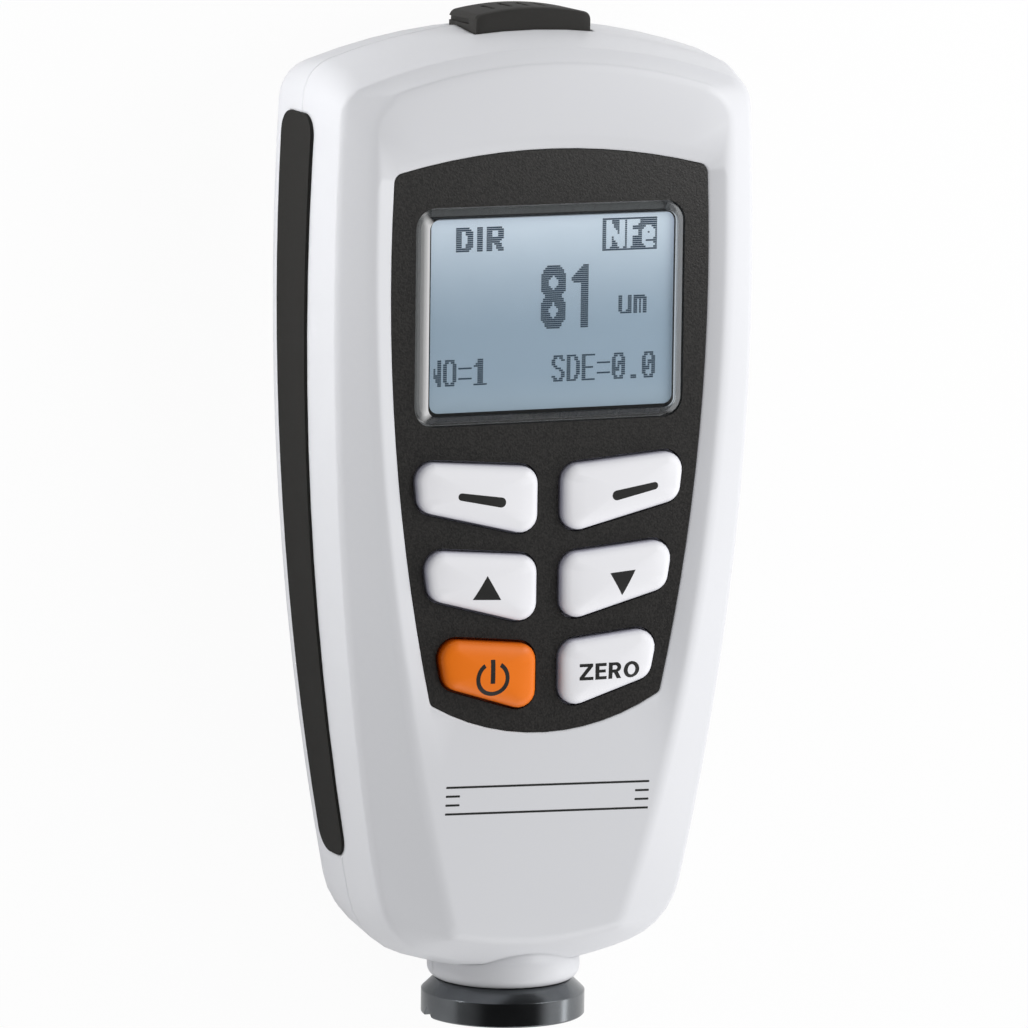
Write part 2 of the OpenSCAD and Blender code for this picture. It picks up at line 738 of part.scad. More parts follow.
// Lens with a bevelled rim, hollow underneath so that the glass comes close to its top
window_wall = 0.8;
window_t = 0.7;
window_roof = panel_t + window_rise - window_t;
module display_window() {
    ring = window_outline;
    color([0.75, 0.8, 0.85, 0.5]) placed() translate([0, window_y, panel_back]) difference() {
        union() {
            linear_extrude(panel_t) polygon(grown(ring, 0));
            hull() {
                translate([0, 0, panel_t - eps]) linear_extrude(eps) polygon(grown(ring, 0));
                translate([0, 0, panel_t + window_rise - eps]) linear_extrude(eps)
                    polygon(grown(ring, -window_bevel));
            }
        }
        translate([0, 0, -eps]) linear_extrude(window_roof + eps) polygon(grown(ring, -window_wall));
    }
}

// Display stack on the board: frame, backlight, glass
lcd_border = 1.3;
lcd_side = 0.5;
frame_r = 0.8;
frame_foot = 4;
frame_w = window_w + 2 * lcd_side;
frame_h = window_h + 2 * lcd_border;
glass_fit = 0.1;
glass_r = window_r - window_wall - glass_fit;
glass_w = window_w - 2 * (window_wall + glass_fit);
glass_h = window_h - 2 * (window_wall + glass_fit);
glass_gap = 0.1;
glass_z = panel_back + window_roof - glass_gap - glass_t;
module lcd_frame() {
    color([0.9, 0.9, 0.88]) placed() translate([0, window_y, board_top]) difference() {
        rounded_box(frame_w, frame_h, frame_r, panel_back - board_top);
        translate([0, 0, glass_z - board_top - backlight_t])
            rounded_box(glass_w + 2 * glass_fit, glass_h + 2 * glass_fit, glass_r + glass_fit, far);
        translate([0, 0, -eps]) rounded_box(frame_w - 2 * frame_foot, frame_h - 2 * frame_foot, frame_r, far);
    }
}
module backlight() {
    color([0.95, 0.97, 1]) placed() translate([0, window_y, glass_z - backlight_t])
        rounded_box(glass_w, glass_h, glass_r, backlight_t);
}
module lcd_glass() {
    color([0.68, 0.76, 0.82]) placed() translate([0, window_y, glass_z])
        rounded_box(glass_w, glass_h, glass_r, glass_t);
}

// Circuit board, notched round the case bosses
board_nose = 24;
board_edge = 0.8;
board_end = 1.2;
boss_gap = 0.4;
module main_board() {
    color([0.1, 0.38, 0.22]) placed() translate([0, 0, board_low]) linear_extrude(board_t) difference() {
        intersection() {
            polygon(inner_ring(wall + board_edge));
            translate([-far, board_nose]) square([2 * far, top_y - end_wall - board_end - board_nose]);
        }
        at_spots(case_spots, 0) circle(r = boss_r + boss_gap);
        at_spots(board_spots, 0) circle(d = board_screw_d + screw_fit);
    }
}
module board_screws() {
    color(nickel) placed() at_spots(board_spots, board_low) {
        translate([0, 0, -head_t]) cylinder(r = board_boss_r, h = head_t);
        translate([0, 0, -eps]) cylinder(d = board_screw_d, h = board_t + board_bite);
    }
}
module case_screws() {
    slot_l = 2.4;
    slot_w = 0.6;
    slot_deep = 0.8;
    color(nickel) placed() at_spots(case_spots, head_seat) {
        translate([0, 0, -head_t]) difference() {
            cylinder(r = head_r, h = head_t);
            for (a = [0, 90]) rotate(a) translate([-slot_l / 2, -slot_w / 2, -eps])
                cube([slot_l, slot_w, slot_deep + eps]);
        }
        translate([0, 0, -eps]) cylinder(d = screw_d, h = seam_z - head_seat + screw_bite - screw_tip);
    }
}

// USB socket under the top edge of the board
usb_l = 9;
usb_wall = 0.4;
usb_back = 1;
usb_gap = 0.2;
usb_top = top_y - end_wall - usb_gap;
plug_in = 1;
plug_fit = 0.2;
// Contact tongue in the mouth of the socket
contact_w = 3.2;
contact_t = 0.8;
contact_inset = 2;
module usb_socket() {
    color(nickel) placed() translate([-usb_w / 2, usb_top - usb_l, board_low - usb_h]) {
        difference() {
            cube([usb_w, usb_l, usb_h]);
            translate([usb_wall, usb_back, usb_wall])
                cube([usb_w - 2 * usb_wall, usb_l, usb_h - 2 * usb_wall]);
        }
        translate([usb_w / 2 - contact_w / 2, usb_back - eps, usb_h - usb_wall - 2 * contact_t])
            cube([contact_w, usb_l - usb_back - contact_inset, contact_t]);
    }
}
// Dust cover: an arched block with short grip slots in its crown, a finger slot in its left side
// and a boss that plugs the socket
module usb_cover() {
    arch = 30;
    end_r = 0.9;
    // Inset of the outline and distance from the front or back, from the face to the side
    edge = [[0.5, 0], [0.15, 0.15], [0, 0.5]];
    slot_n = 4;
    slot_pitch = 2;
    slot_shift = 1;
    slot_w = 0.5;
    slot_l = 3.4;
    slot_deep = 0.35;
    nick_h = 0.5;
    nick_deep = 0.4;
    boss_w = usb_w - 2 * (usb_wall + plug_fit);
    boss_h = usb_h - 2 * (usb_wall + plug_fit);
    color(rubber_black) placed() {
        difference() {
            hull() for (e = edge)
                translate([0, 0, cap_z - cap_d / 2 + e[1]]) linear_extrude(cap_d - 2 * e[1])
                    cap_profile(arch, end_r, e[0]);
            for (i = [0:slot_n - 1])
                translate([(i - (slot_n - 1) / 2) * slot_pitch - slot_shift, body_l - slot_deep,
                           cap_z - slot_l / 2])
                    cube([slot_w, far, slot_l]);
            translate([-cap_w / 2 - far + nick_deep, top_y, cap_z - cap_d / 2 - eps])
                cube([far, nick_h, cap_d - 2 * end_r]);
        }
        translate([-boss_w / 2, usb_top - plug_in, board_low - usb_h / 2 - boss_h / 2])
            cube([boss_w, cap_seat - usb_top + plug_in + eps, boss_h]);
    }
}
// Front view of the dust cover, drawn in by d at its crown and ends
module cap_profile(arch, end_r, d) {
    half = cap_w / 2 - d;
    o = [0, body_l - arch];
    c = o + [half - end_r, sqrt(pow(arch - d - end_r, 2) - pow(half - end_r, 2))];
    from = heading(c - o);
    polygon(concat([[-half, cap_seat], [half, cap_seat]], arc(c, end_r, 0, from, 5),
                   tail(arc(o, arch - d, from, 180 - from, 16)),
                   tail(arc([-c.x, c.y], end_r, 180 - from, 180, 5))));
}

// Probe: sleeve, sprung plunger with its coil, spring, rear plug and lead.
// The spring is just above its solid length when the plunger is pushed right in.
wire_r = 0.35;
spring_turns = 4;
spring_inset = 1;
lip_w = 1;
lip_d = tip_d + 2 * lip_w;
lip_l = 2.5;
sleeve_neck = 15;
sleeve_cone_y = 3.95;
plug_sink = 1.5;
plug_low = sleeve_end - plug_sink;
spring_spare = 0.2;
plunger_end = plug_low - probe_travel - 2 * wire_r * spring_turns - spring_spare;
module probe_sleeve() {
    r = sleeve_d / 2;
    edge = 0.15;
    mouth = 0.4;
    color([0.1, 0.1, 0.11]) placed() difference() {
        on_probe_axis() rotate_extrude() polygon([
            [lip_d / 2 + probe_fit, mouth], [lip_d / 2 + probe_fit + mouth, 0],
            [r - edge, 0], [r, edge], [r, sleeve_band],
            [sleeve_neck / 2, sleeve_cone_y], [stem_d / 2, sleeve_cone_y], [stem_d / 2, flange_low],
            [flange_d / 2, flange_low], [flange_d / 2, flange_low + flange_t],
            [stem_d / 2, flange_low + flange_t], [stem_d / 2, sleeve_end],
            [plunger_d / 2 + probe_fit, sleeve_end], [plunger_d / 2 + probe_fit, lip_l],
            [lip_d / 2 + probe_fit, lip_l]
        ]);
        translate([0, 0, seam_z]) rotate([0, -90, 0]) linear_extrude(far)
            polygon([[-groove_depth, -eps], [groove_depth, -eps], [0, groove_depth]]);
    }
}
coil_low = 4;
coil_l = 5;
coil_deep = 1.2;
coil_inset = 0.3;
module probe_plunger() {
    r = plunger_d / 2;
    t = tip_d / 2;
    dome = 4.5;
    shoulder = 0.6;
    land = 0.2;
    color([0.7, 0.71, 0.73]) placed() on_probe_axis() rotate_extrude() polygon(concat(
        [[0, -tip_proud]],
        tail(arc([0, dome - tip_proud], dome, -90, -90 + asin(t / dome), 8)),
        [[t, lip_l - shoulder], [lip_d / 2, lip_l - land], [lip_d / 2, lip_l], [r, lip_l], [r, coil_low],
         [r - coil_deep, coil_low], [r - coil_deep, coil_low + coil_l], [r, coil_low + coil_l],
         [r, plunger_end], [0, plunger_end]]));
}
module probe_coil() {
    color([0.72, 0.42, 0.2]) placed() on_probe_axis() translate([0, 0, coil_low]) difference() {
        cylinder(r = plunger_d / 2 - coil_inset, h = coil_l);
        translate([0, 0, -eps]) cylinder(r = plunger_d / 2 - coil_deep, h = coil_l + 2 * eps);
    }
}
module probe_plug() {
    color([0.2, 0.2, 0.22]) placed() on_probe_axis() {
        translate([0, 0, plug_low]) cylinder(d = plunger_d, h = sleeve_end - plug_low);
        translate([0, 0, sleeve_end]) cylinder(d = stem_d, h = plug_head);
    }
}

// Points of a coil spring that runs from y0 to y1 along the Y axis
function helix(r, y0, y1, turns, steps) = [
    for (i = [0:turns * steps])
        [r * cos(360 * i / steps), y0 + (y1 - y0) * i / (turns * steps), r * sin(360 * i / steps)]
];
module probe_spring() {
    color(nickel) placed() translate([0, 0, seam_z])
        sweep(helix(plunger_d / 2 - spring_inset, plunger_end + wire_r, plug_low - wire_r, spring_turns, 14),
              wire_r, 6);
}
// The flat lead leaves the plug straight, climbs over the end of the board and lies on it
lead_w = 3;
lead_t = 0.5;
lead_start = 1;
lead_lap = 3;
module probe_lead() {
    y0 = sleeve_end + plug_head;
    y1 = y0 + lead_start;
    y2 = board_nose - lead_t;
    rise = board_top + lead_t / 2 - seam_z;
    steps = 6;
    climb = [
        for (i = [0:steps]) let (t = i / steps) [y1 + (y2 - y1) * t, seam_z + rise * t * t * (3 - 2 * t)]
    ];
    path = concat([[y0, seam_z]], climb, [[y2 + lead_lap, seam_z + rise]]);
    last = len(path) - 1;
    color([0.2, 0.2, 0.22]) placed() rotate([90, 0, 90]) linear_extrude(lead_w, center = true) polygon(concat(
        [for (p = path) p + [0, lead_t / 2]],
        [for (i = [0:last]) path[last - i] - [0, lead_t / 2]]));
}

// Cells lie head to tail between the plates and springs of the bay
module cell() {
    nub_r = 1.9;
    nub_l = 1;
    rotate([-90, 0, 0]) {
        cylinder(d = cell_d, h = cell_l - nub_l);
        translate([0, 0, cell_l - nub_l - eps]) cylinder(r = nub_r, h = nub_l + eps);
    }
}
module battery_left() {
    color([0.25, 0.27, 0.3]) placed()
        translate([-cell_pitch / 2, bay_low + plate_t + spring_l, cell_z]) cell();
}
module battery_right() {
    color([0.25, 0.27, 0.3]) placed()
        translate([cell_pitch / 2, bay_low + plate_t + cell_l, cell_z]) rotate([0, 0, 180]) cell();
}
contact_r = 3.2;
module contact_springs() {
    color(nickel) placed() {
        translate([-cell_pitch / 2, bay_low + plate_t, cell_z]) rotate([0, 90, 0])
            sweep(helix(contact_r, wire_r, spring_l - wire_r, 4, 12), wire_r, 6);
        translate([cell_pitch / 2, bay_low + bay_l - plate_t, cell_z]) rotate([0, 90, 180])
            sweep(helix(contact_r, wire_r, spring_l - wire_r, 4, 12), wire_r, 6);
    }
}
module contact_plates() {
    plate_w = 9;
    plate_h = 8;
    bridge_w = cell_pitch + plate_w;
    color(nickel) placed() {
        translate([-bridge_w / 2, bay_low, cell_z - plate_h / 2]) cube([bridge_w, plate_t, plate_h]);
        for (s = [-1, 1])
            translate([s * cell_pitch / 2 - plate_w / 2, bay_low + bay_l - plate_t, cell_z - plate_h / 2])
                cube([plate_w, plate_t, plate_h]);
    }
}

front_shell();
rear_shell();
left_grip();
right_grip();
front_panel();
display_window();
lcd_glass();
lcd_frame();
backlight();
keypad_mat();
left_soft_key();
right_soft_key();
up_key();
down_key();
power_key();
zero_key();
main_board();
board_screws();
case_screws();
usb_socket();
usb_cover();
probe_sleeve();
probe_plunger();
probe_coil();
probe_spring();
probe_plug();
probe_lead();
battery_cover();
battery_left();
battery_right();
contact_springs();
contact_plates();
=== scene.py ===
import math

import bmesh
import bpy
from bpy.props import FloatProperty, FloatVectorProperty, PointerProperty
from mathutils import Matrix, Vector
from mathutils.bvhtree import BVHTree


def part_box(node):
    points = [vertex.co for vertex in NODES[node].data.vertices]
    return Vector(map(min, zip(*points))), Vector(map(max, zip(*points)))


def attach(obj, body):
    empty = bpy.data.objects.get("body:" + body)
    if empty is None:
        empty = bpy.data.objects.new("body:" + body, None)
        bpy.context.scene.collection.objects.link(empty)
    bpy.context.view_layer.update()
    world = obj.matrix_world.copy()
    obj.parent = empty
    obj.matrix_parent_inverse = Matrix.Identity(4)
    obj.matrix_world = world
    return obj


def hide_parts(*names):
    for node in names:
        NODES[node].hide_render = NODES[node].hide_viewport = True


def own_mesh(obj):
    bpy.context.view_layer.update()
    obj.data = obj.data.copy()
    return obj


bl_info = {
    "name": "Coating gauge looks",
    "version": (1, 0, 0),
    "blender": (4, 5, 0),
    "location": "3D View > Sidebar > Gauge",
    "description": "Finishes, readout, key symbols and studio of a coating thickness gauge",
    "category": "Object",
}

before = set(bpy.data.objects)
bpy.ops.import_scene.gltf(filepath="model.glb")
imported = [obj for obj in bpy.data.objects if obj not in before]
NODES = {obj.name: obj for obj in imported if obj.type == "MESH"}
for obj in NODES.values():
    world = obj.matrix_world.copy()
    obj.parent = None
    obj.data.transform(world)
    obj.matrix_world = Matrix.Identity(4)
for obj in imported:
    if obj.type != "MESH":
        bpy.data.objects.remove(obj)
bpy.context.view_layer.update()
MM = 0.001
KEYS = ("left_soft_key", "right_soft_key", "up_key", "down_key", "power_key", "zero_key")
# Corners of a square whose middle is at zero
SQUARE = ((-1, -1), (1, -1), (1, 1), (-1, 1))

# Points nearer than this are joined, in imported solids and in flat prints
MERGE_DISTANCE = 0.002 * MM
FLAT_MERGE = 1e-7

# Readout: way from the middle of the lens, and lifts of the film and of the mask
FILM_SHIFT = 0.15 * MM
FILM_LIFT = 0.01 * MM
MASK_LIFT = 0.02 * MM

# Prints: height above a piece that they are dropped from, rounds of cutting and longest edges
DROP_HEIGHT = 5 * MM
MOST_CUTS = 6
KEY_REACH = 0.4 * MM
LINE_REACH = 0.5 * MM

# Key symbols: ends, corners and middles in millimetres, and half the opening of the power ring in degrees
LEFT_BAR = ((-10.55, 4.3), (-5.98, 3.5))
RIGHT_BAR = ((11.86, 4.47), (7.45, 3.63))
UP_CORNERS = ((-7.48, -4.33), (-9.1, -6.86), (-5.87, -7.0))
DOWN_CORNERS = ((6.78, -4.75), (9.74, -4.52), (8.3, -7.26))
POWER_MIDDLE = (-6.71, -15.45)
ZERO_MIDDLE = (6.9, -15.35)
POWER_OPENING = 32

# Lines on the lower facet: middle in millimetres, tilt in degrees, rows as numbers of gaps
LINES_MIDDLE = (0.46, -29.05)
LINES_TILT = -1.68
LONG_ROW = 1.56
SHORT_ROW = 0.52

# Floor: half its side, and its way below the gauge
FLOOR_HALF = 1.5
FLOOR_DROP = 0.05 * MM

# Camera: focal length in pixels of the photograph, angles in degrees, aim in millimetres, distance in metres
IMAGE_PX = 1028
SENSOR_MM = 36.0
FOCAL_PX = 8434.08
CAMERA_TURN = 23.274
CAMERA_RISE = 8.675
CAMERA_ROLL = 0.7245
CAMERA_AIM = (-3.287, 1.721, 20.0)
CAMERA_DISTANCE = 0.9

# Lamps: name, watts, width and height, place and aim in metres
LAMPS = (
    ("left_strip", 0.095, (0.1, 0.012), (-0.135, 0.06, 0.01), (-0.025, 0.02, 0.015)),
    ("right_softbox", 0.105, (0.05, 0.12), (0.12, 0.075, 0.13), (0, 0.01, 0.012)),
    ("foot_softbox", 0.36, (0.3, 0.2), (0.12, -0.36, 0.2), (0, 0, 0.012)),
    ("probe_glint", 0.02, (0.06, 0.04), (0.23, -0.09, 0.08), (0, -0.054, 0.012)),
)

# Spread of a surface's roughness about its middle value
ROUGH_SPAN = 0.12


def tone(red, green, blue):
    """Scene colour of three 8-bit screen values."""
    return tuple(
        (c / 255 / 12.92) if c < 11 else ((c / 255 + 0.055) / 1.055) ** 2.4
        for c in (red, green, blue)
    )


def colour(name, description, *screen):
    """Colour property with a default given in screen values."""
    return FloatVectorProperty(
        name=name, description=description, subtype="COLOR", size=3, min=0, max=1, default=tone(*screen)
    )


def size(name, description, mm):
    """Length property with a default given in millimetres."""
    return FloatProperty(name=name, description=description, unit="LENGTH", precision=6, default=mm * MM)


class GaugeSizes(bpy.types.PropertyGroup):
    """Sizes of the pieces that only the looks add."""

    readout_width: size("Readout width", "Width of the lit area behind the lens", 28.1)
    readout_height: size("Readout height", "Height of the lit area behind the lens", 20.7)
    readout_corner: size("Readout corner", "Corner radius of the lit area", 1.0)
    dot_pitch: size("Dot pitch", "Distance between two dots of the readout", 0.2195)
    symbol_lift: size("Symbol lift", "Thickness of the ink on the keys", 0.012)
    bar_outer: size("Bar outer radius", "Radius of the outer end of the soft key bar", 0.40)
    bar_inner: size("Bar inner radius", "Radius of the inner end of the soft key bar", 0.54)
    ring_radius: size("Power ring", "Middle radius of the power symbol", 1.69)
    ring_stroke: size("Power stroke", "Stroke of the power symbol", 0.46)
    word_height: size("Word height", "Height of the letters on the zero key", 1.78)
    word_width: size("Word width", "Width of the word on the zero key", 7.0)
    rule_length: size("Rule length", "Length of the long lines on the lower facet", 23.75)
    rule_width: size("Rule width", "Width of the lines on the lower facet", 0.23)
    rule_gap: size("Rule gap", "Distance between neighbouring lines on the lower facet", 0.93)
    dash_length: size("Dash length", "Length of the short lines on the lower facet", 1.63)
    mat_thickness: size("Mat thickness", "Thickness of the keypad mat between its pads", 1.2)
    key_travel: size("Key travel", "Way that a key goes down", 0.8)
    probe_travel: size("Probe travel", "Way that the probe tip goes in", 1.5)


class GaugeColours(bpy.types.PropertyGroup):
    """Colours of the finishes."""

    shell: colour("Shell", "Pearl plastic of the two shells", 226, 227, 231)
    rubber: colour("Rubber", "Soft grips in the sides", 37, 36, 34)
    cover: colour("Cover", "Dust cover of the socket", 52, 51, 49)
    panel: colour("Panel", "Charcoal front panel", 32, 30, 28)
    key: colour("Key", "White key caps", 248, 248, 252)
    # Painted shade: the two foot colours darken the key caps towards the panel
    key_foot_shade: colour("Key foot shade", "White key caps low down", 196, 196, 212)
    power: colour("Power key", "Orange key cap", 250, 124, 0)
    power_foot_shade: colour("Power key foot shade", "Orange key cap low down", 186, 74, 0)
    ink: colour("Ink", "Symbols on the keys", 34, 34, 33)
    # Painted light: the readout colour is brighter towards its upper edge
    readout_top: colour("Readout top", "Readout at its upper edge", 232, 243, 247)
    readout_low: colour("Readout low", "Readout from its middle down", 176, 195, 213)
    dots: colour("Dots", "Dark dots of the readout", 62, 82, 100)
    mask: colour("Mask", "Black print round the readout", 24, 24, 25)
    sleeve: colour("Sleeve", "Blackened probe sleeve", 110, 113, 116)
    steel: colour("Steel", "Probe tip and screws", 188, 190, 192)
    nickel: colour("Nickel", "Contacts and socket", 205, 204, 198)
    copper: colour("Copper", "Winding of the probe", 190, 112, 62)
    board: colour("Board", "Circuit board", 26, 92, 54)
    silicone: colour("Silicone", "Keypad mat", 142, 144, 148)
    wrap: colour("Cell wrap", "Sleeve of the cells", 62, 66, 72)
    guide: colour("Light guide", "Backlight and display frame", 232, 235, 238)


class Wire:
    """A shader output that takes part in Python expressions."""

    def __init__(self, net, socket):
        self.net = net
        self.socket = socket

    def math(self, operation, a, b=0.0):
        return self.net.node("ShaderNodeMath", {"operation": operation}, {0: a, 1: b})

    def __add__(self, other):
        return self.math("ADD", self, other)

    def __sub__(self, other):
        return self.math("SUBTRACT", self, other)

    def __rsub__(self, other):
        return self.math("SUBTRACT", other, self)

    def __mul__(self, other):
        return self.math("MULTIPLY", self, other)

    def __truediv__(self, other):
        return self.math("DIVIDE", self, other)

    def __pow__(self, other):
        return self.math("POWER", self, other)

    def least(self, other):
        return self.math("MINIMUM", self, other)

    def most(self, other):
        return self.math("MAXIMUM", self, other)

    def step(self, low, high):
        """Smooth rise from 0 at low to 1 at high."""
        return self.net.node(
            "ShaderNodeMapRange",
            {"interpolation_type": "SMOOTHSTEP"},
            {"Value": self, "From Min": low, "From Max": high},
        )


class Net:
    """Nodes of one shader tree."""

    def __init__(self, tree):
        self.tree = tree
        tree.nodes.clear()

    def node(self, kind, settings=None, sockets=None, out=0):
        made = self.tree.nodes.new(kind)
        for key, value in (settings or {}).items():
            setattr(made, key, value)
        for key, value in (sockets or {}).items():
            socket = made.inputs[key]
            if isinstance(value, Wire):
                self.tree.links.new(value.socket, socket)
            elif socket.type == "RGBA":
                socket.default_value = (*value[:3], 1.0)
            else:
                socket.default_value = value
        return Wire(self, made.outputs[out]) if len(made.outputs) else made

    def mix(self, share, a, b):
        return self.node("ShaderNodeMix", {"data_type": "RGBA"}, {0: share, 6: a, 7: b}, out=2)

    def mix_shader(self, share, a, b):
        return self.node("ShaderNodeMixShader", None, {0: share, 1: a, 2: b})


class Finish(Net):
    """A material, with the coordinates of its piece in metres."""

    def __init__(self, name):
        self.material = bpy.data.materials.new(name)
        self.material.use_nodes = True
        super().__init__(self.material.node_tree)
        self.spot = self.node("ShaderNodeTexCoord", out="Object")

    def axis(self, name):
        return self.node("ShaderNodeSeparateXYZ", None, {0: self.spot}, out=name)

    def facing(self, name):
        geometry = self.node("ShaderNodeNewGeometry", out="Normal")
        return self.node("ShaderNodeSeparateXYZ", None, {0: geometry}, out=name)

    def grain(self, scale, detail):
        """Noise with this many bumps to the metre."""
        return self.node("ShaderNodeTexNoise", None, {"Vector": self.spot, "Scale": scale, "Detail": detail})

    def streaks(self, stretch, detail):
        """Noise with its own number of bumps to the metre along each axis."""
        at = self.node("ShaderNodeVectorMath", {"operation": "MULTIPLY"}, {0: self.spot, 1: stretch})
        return self.node("ShaderNodeTexNoise", None, {"Vector": at, "Scale": 1.0, "Detail": detail})

    def bump(self, height, strength, distance_mm, edge_mm=0.0):
        """Relief in millimetres, over edges rounded by edge_mm where that is given."""
        sockets = {"Strength": strength, "Distance": distance_mm * MM, "Height": height}
        if edge_mm:
            sockets["Normal"] = self.node("ShaderNodeBevel", {"samples": 6}, {"Radius": edge_mm * MM})
        return self.node("ShaderNodeBump", None, sockets)

    def principled(self, **sockets):
        """Principled shader with its sockets given in lower case."""
        named = {key.replace("_", " ").title(): value for key, value in sockets.items()}
        if "Specular Level" in named:
            named["Specular IOR Level"] = named.pop("Specular Level")
        return self.node("ShaderNodeBsdfPrincipled", None, named)

    def done(self, shader):
        self.node("ShaderNodeOutputMaterial", None, {"Surface": shader})
        return self.material


def moulded(
    name, base, rough, grain_mm, depth_mm, drift, strength=0.3, gloss=0.5, coat=0.0, edge_mm=0.0, speckle=0.0
):
    """Moulded plastic or rubber: fine texture, slow drift and fine speckle of tone, uneven gloss."""
    f = Finish(name)
    fine = f.grain(1 / (grain_mm * MM), 3.0)
    slow = f.grain(45.0, 2.0)
    span = drift + speckle
    share = (slow * drift + fine.step(0.35, 0.65) * speckle) / span
    shade = f.mix(share, tuple(c * (1 - span) for c in base), tuple(min(1, c * (1 + span)) for c in base))
    return f.done(
        f.principled(
            base_color=shade,
            roughness=fine * ROUGH_SPAN + (rough - ROUGH_SPAN / 2),
            specular_level=gloss,
            coat_weight=coat,
            coat_roughness=0.25,
            normal=f.bump(fine, strength, depth_mm, edge_mm),
        )
    )


def key_cap_finish(name, top, foot, field_z):
    """Satin key cap with painted shade: its colour darkens towards its foot, at the field of the panel."""
    f = Finish(name)
    painted_shade_height = 1.15 * MM
    # Painted shade: the foot colour at the field of the panel fades into the top colour higher up
    rise = f.axis("Z").step(field_z, field_z + painted_shade_height)
    fine = f.grain(5200.0, 2.0)
    return f.done(
        f.principled(
            base_color=f.mix(rise, foot, top),
            roughness=fine * 0.08 + 0.36,
            specular_level=0.35,
            normal=f.bump(fine, 0.12, 0.01, 0.2),
        )
    )


def metal(name, base, rough):
    """Drawn metal with fine lines along the gauge."""
    f = Finish(name)
    lines = f.streaks((9000, 260, 9000), 2.0)
    return f.done(
        f.principled(
            base_color=f.mix(lines, tuple(c * 0.9 for c in base), base),
            metallic=1.0,
            roughness=lines * ROUGH_SPAN + (rough - ROUGH_SPAN / 2),
            normal=f.bump(lines, 0.08, 0.01),
        )
    )


def dark_metal(name, base):
    """Blackened, polished sleeve with turning marks round the probe axis."""
    f = Finish(name)
    turning = f.streaks((40, 16000, 40), 1.0)
    smear = f.grain(420.0, 3.0)
    return f.done(
        f.principled(
            base_color=f.mix(smear, tuple(c * 0.8 for c in base), tuple(c * 1.15 for c in base)),
            metallic=1.0,
            roughness=turning * 0.08 + smear * 0.06 + 0.14,
            normal=f.bump(turning, 0.06, 0.006, 0.12),
        )
    )


def lens_finish(name, x_rim):
    """Clear lens whose bevel is half black diffuse as painted shade, with a painted highlight: a faintly
    glowing white strip along its left-facing bevel.
    """
    f = Finish(name)
    flat = (f.facing("Z") ** 2.0).step(0.72, 0.94)
    gloss = f.node("ShaderNodeLayerWeight", None, {"Blend": 0.5}, out="Facing") ** 4.0 * 0.7 + 0.04
    haze = f.grain(900.0, 2.0)
    clear = f.node("ShaderNodeBsdfTransparent", None, {"Color": (0.97, 0.98, 0.98)})
    # Painted shade: black diffuse for half of the bevel faces
    bevel_shade = f.node("ShaderNodeBsdfDiffuse", None, {"Color": (0.02, 0.02, 0.02)})
    shine = f.node("ShaderNodeBsdfGlossy", None, {"Color": (1, 1, 1), "Roughness": haze * 0.03 + 0.03})
    # Painted highlight: white that glows faintly, on the left-facing bevel
    painted_highlight = f.principled(
        base_color=(0.95, 0.95, 0.96),
        roughness=haze * 0.1 + 0.3,
        emission_color=(1, 1, 1),
        emission_strength=0.3,
    )
    body = f.mix_shader((1 - flat) * 0.5, clear, bevel_shade)
    mirrored = gloss * flat + (1 - flat) * (gloss * 0.45 + 0.04)
    # Where the painted highlight lies: left-facing faces, more of it towards the inner edge of the bevel
    inner = f.axis("X").step(x_rim + 0.3 * MM, x_rim + 0.95 * MM) * 0.85 + 0.08
    left = (f.facing("X") * -1.0).step(0.3, 0.7) * inner
    return f.done(f.mix_shader(left, f.mix_shader(mirrored, body, shine), painted_highlight))


def readout_finish(name, top, low, y_low, y_top):
    """Pale display, slightly mottled, with painted light: its colour is brighter towards its upper edge and a
    little at its foot, and it glows faintly towards its upper edge.
    """
    f = Finish(name)
    mottled = f.grain(300.0, 3.0) * 0.06 - 0.03
    height = (f.axis("Y") - y_low) / (y_top - y_low) + mottled
    # Painted light: brighter colour and a faint glow towards the upper edge, a little brighter colour at the
    # foot
    rise = ((height - 0.4) / 0.55).most(0.0)
    glow = (rise ** 1.6).least(1.0)
    foot = height.step(0.2, 0.0) * 0.12
    return f.done(
        f.principled(
            base_color=f.mix((glow + foot).least(1.0), low, top),
            roughness=f.grain(2500.0, 2.0) * 0.1 + 0.45,
            specular_level=0.2,
            emission_color=f.mix(glow, (0, 0, 0), (0.045, 0.055, 0.12)),
            emission_strength=1.0,
        )
    )


def ink_finish(name, base):
    """Printed ink, slightly uneven."""
    f = Finish(name)
    fine = f.grain(6000.0, 2.0)
    return f.done(
        f.principled(
            base_color=f.mix(fine, tuple(c * 0.85 for c in base), tuple(c * 1.1 for c in base)),
            roughness=fine * 0.1 + 0.42,
            normal=f.bump(fine, 0.1, 0.005),
        )
    )


def board_finish(name, base):
    """Solder mask over tracks that show as paler lines."""
    f = Finish(name)
    tracks = f.node(
        "ShaderNodeTexBrick",
        {"offset": 0.5},
        {"Vector": f.spot, "Scale": 420.0, "Mortar Size": 0.06},
        out="Fac",
    )
    fine = f.grain(1500.0, 2.0)
    return f.done(
        f.principled(
            base_color=f.mix(tracks * 0.6 + fine * 0.2, base, tuple(c * 1.5 for c in base)),
            roughness=fine * 0.1 + 0.35,
            normal=f.bump(tracks, 0.2, 0.03),
        )
    )


def wrap_finish(name, base, band, y_split):
    """Shrink sleeve of a cell with a plain band at one end."""
    f = Finish(name)
    blur = 0.05 * MM
    end = f.axis("Y").step(y_split - blur, y_split + blur)
    fine = f.grain(1800.0, 2.0)
    return f.done(
        f.principled(
            base_color=f.mix(end, base, band), roughness=fine * 0.08 + 0.24, normal=f.bump(fine, 0.06, 0.01)
        )
    )


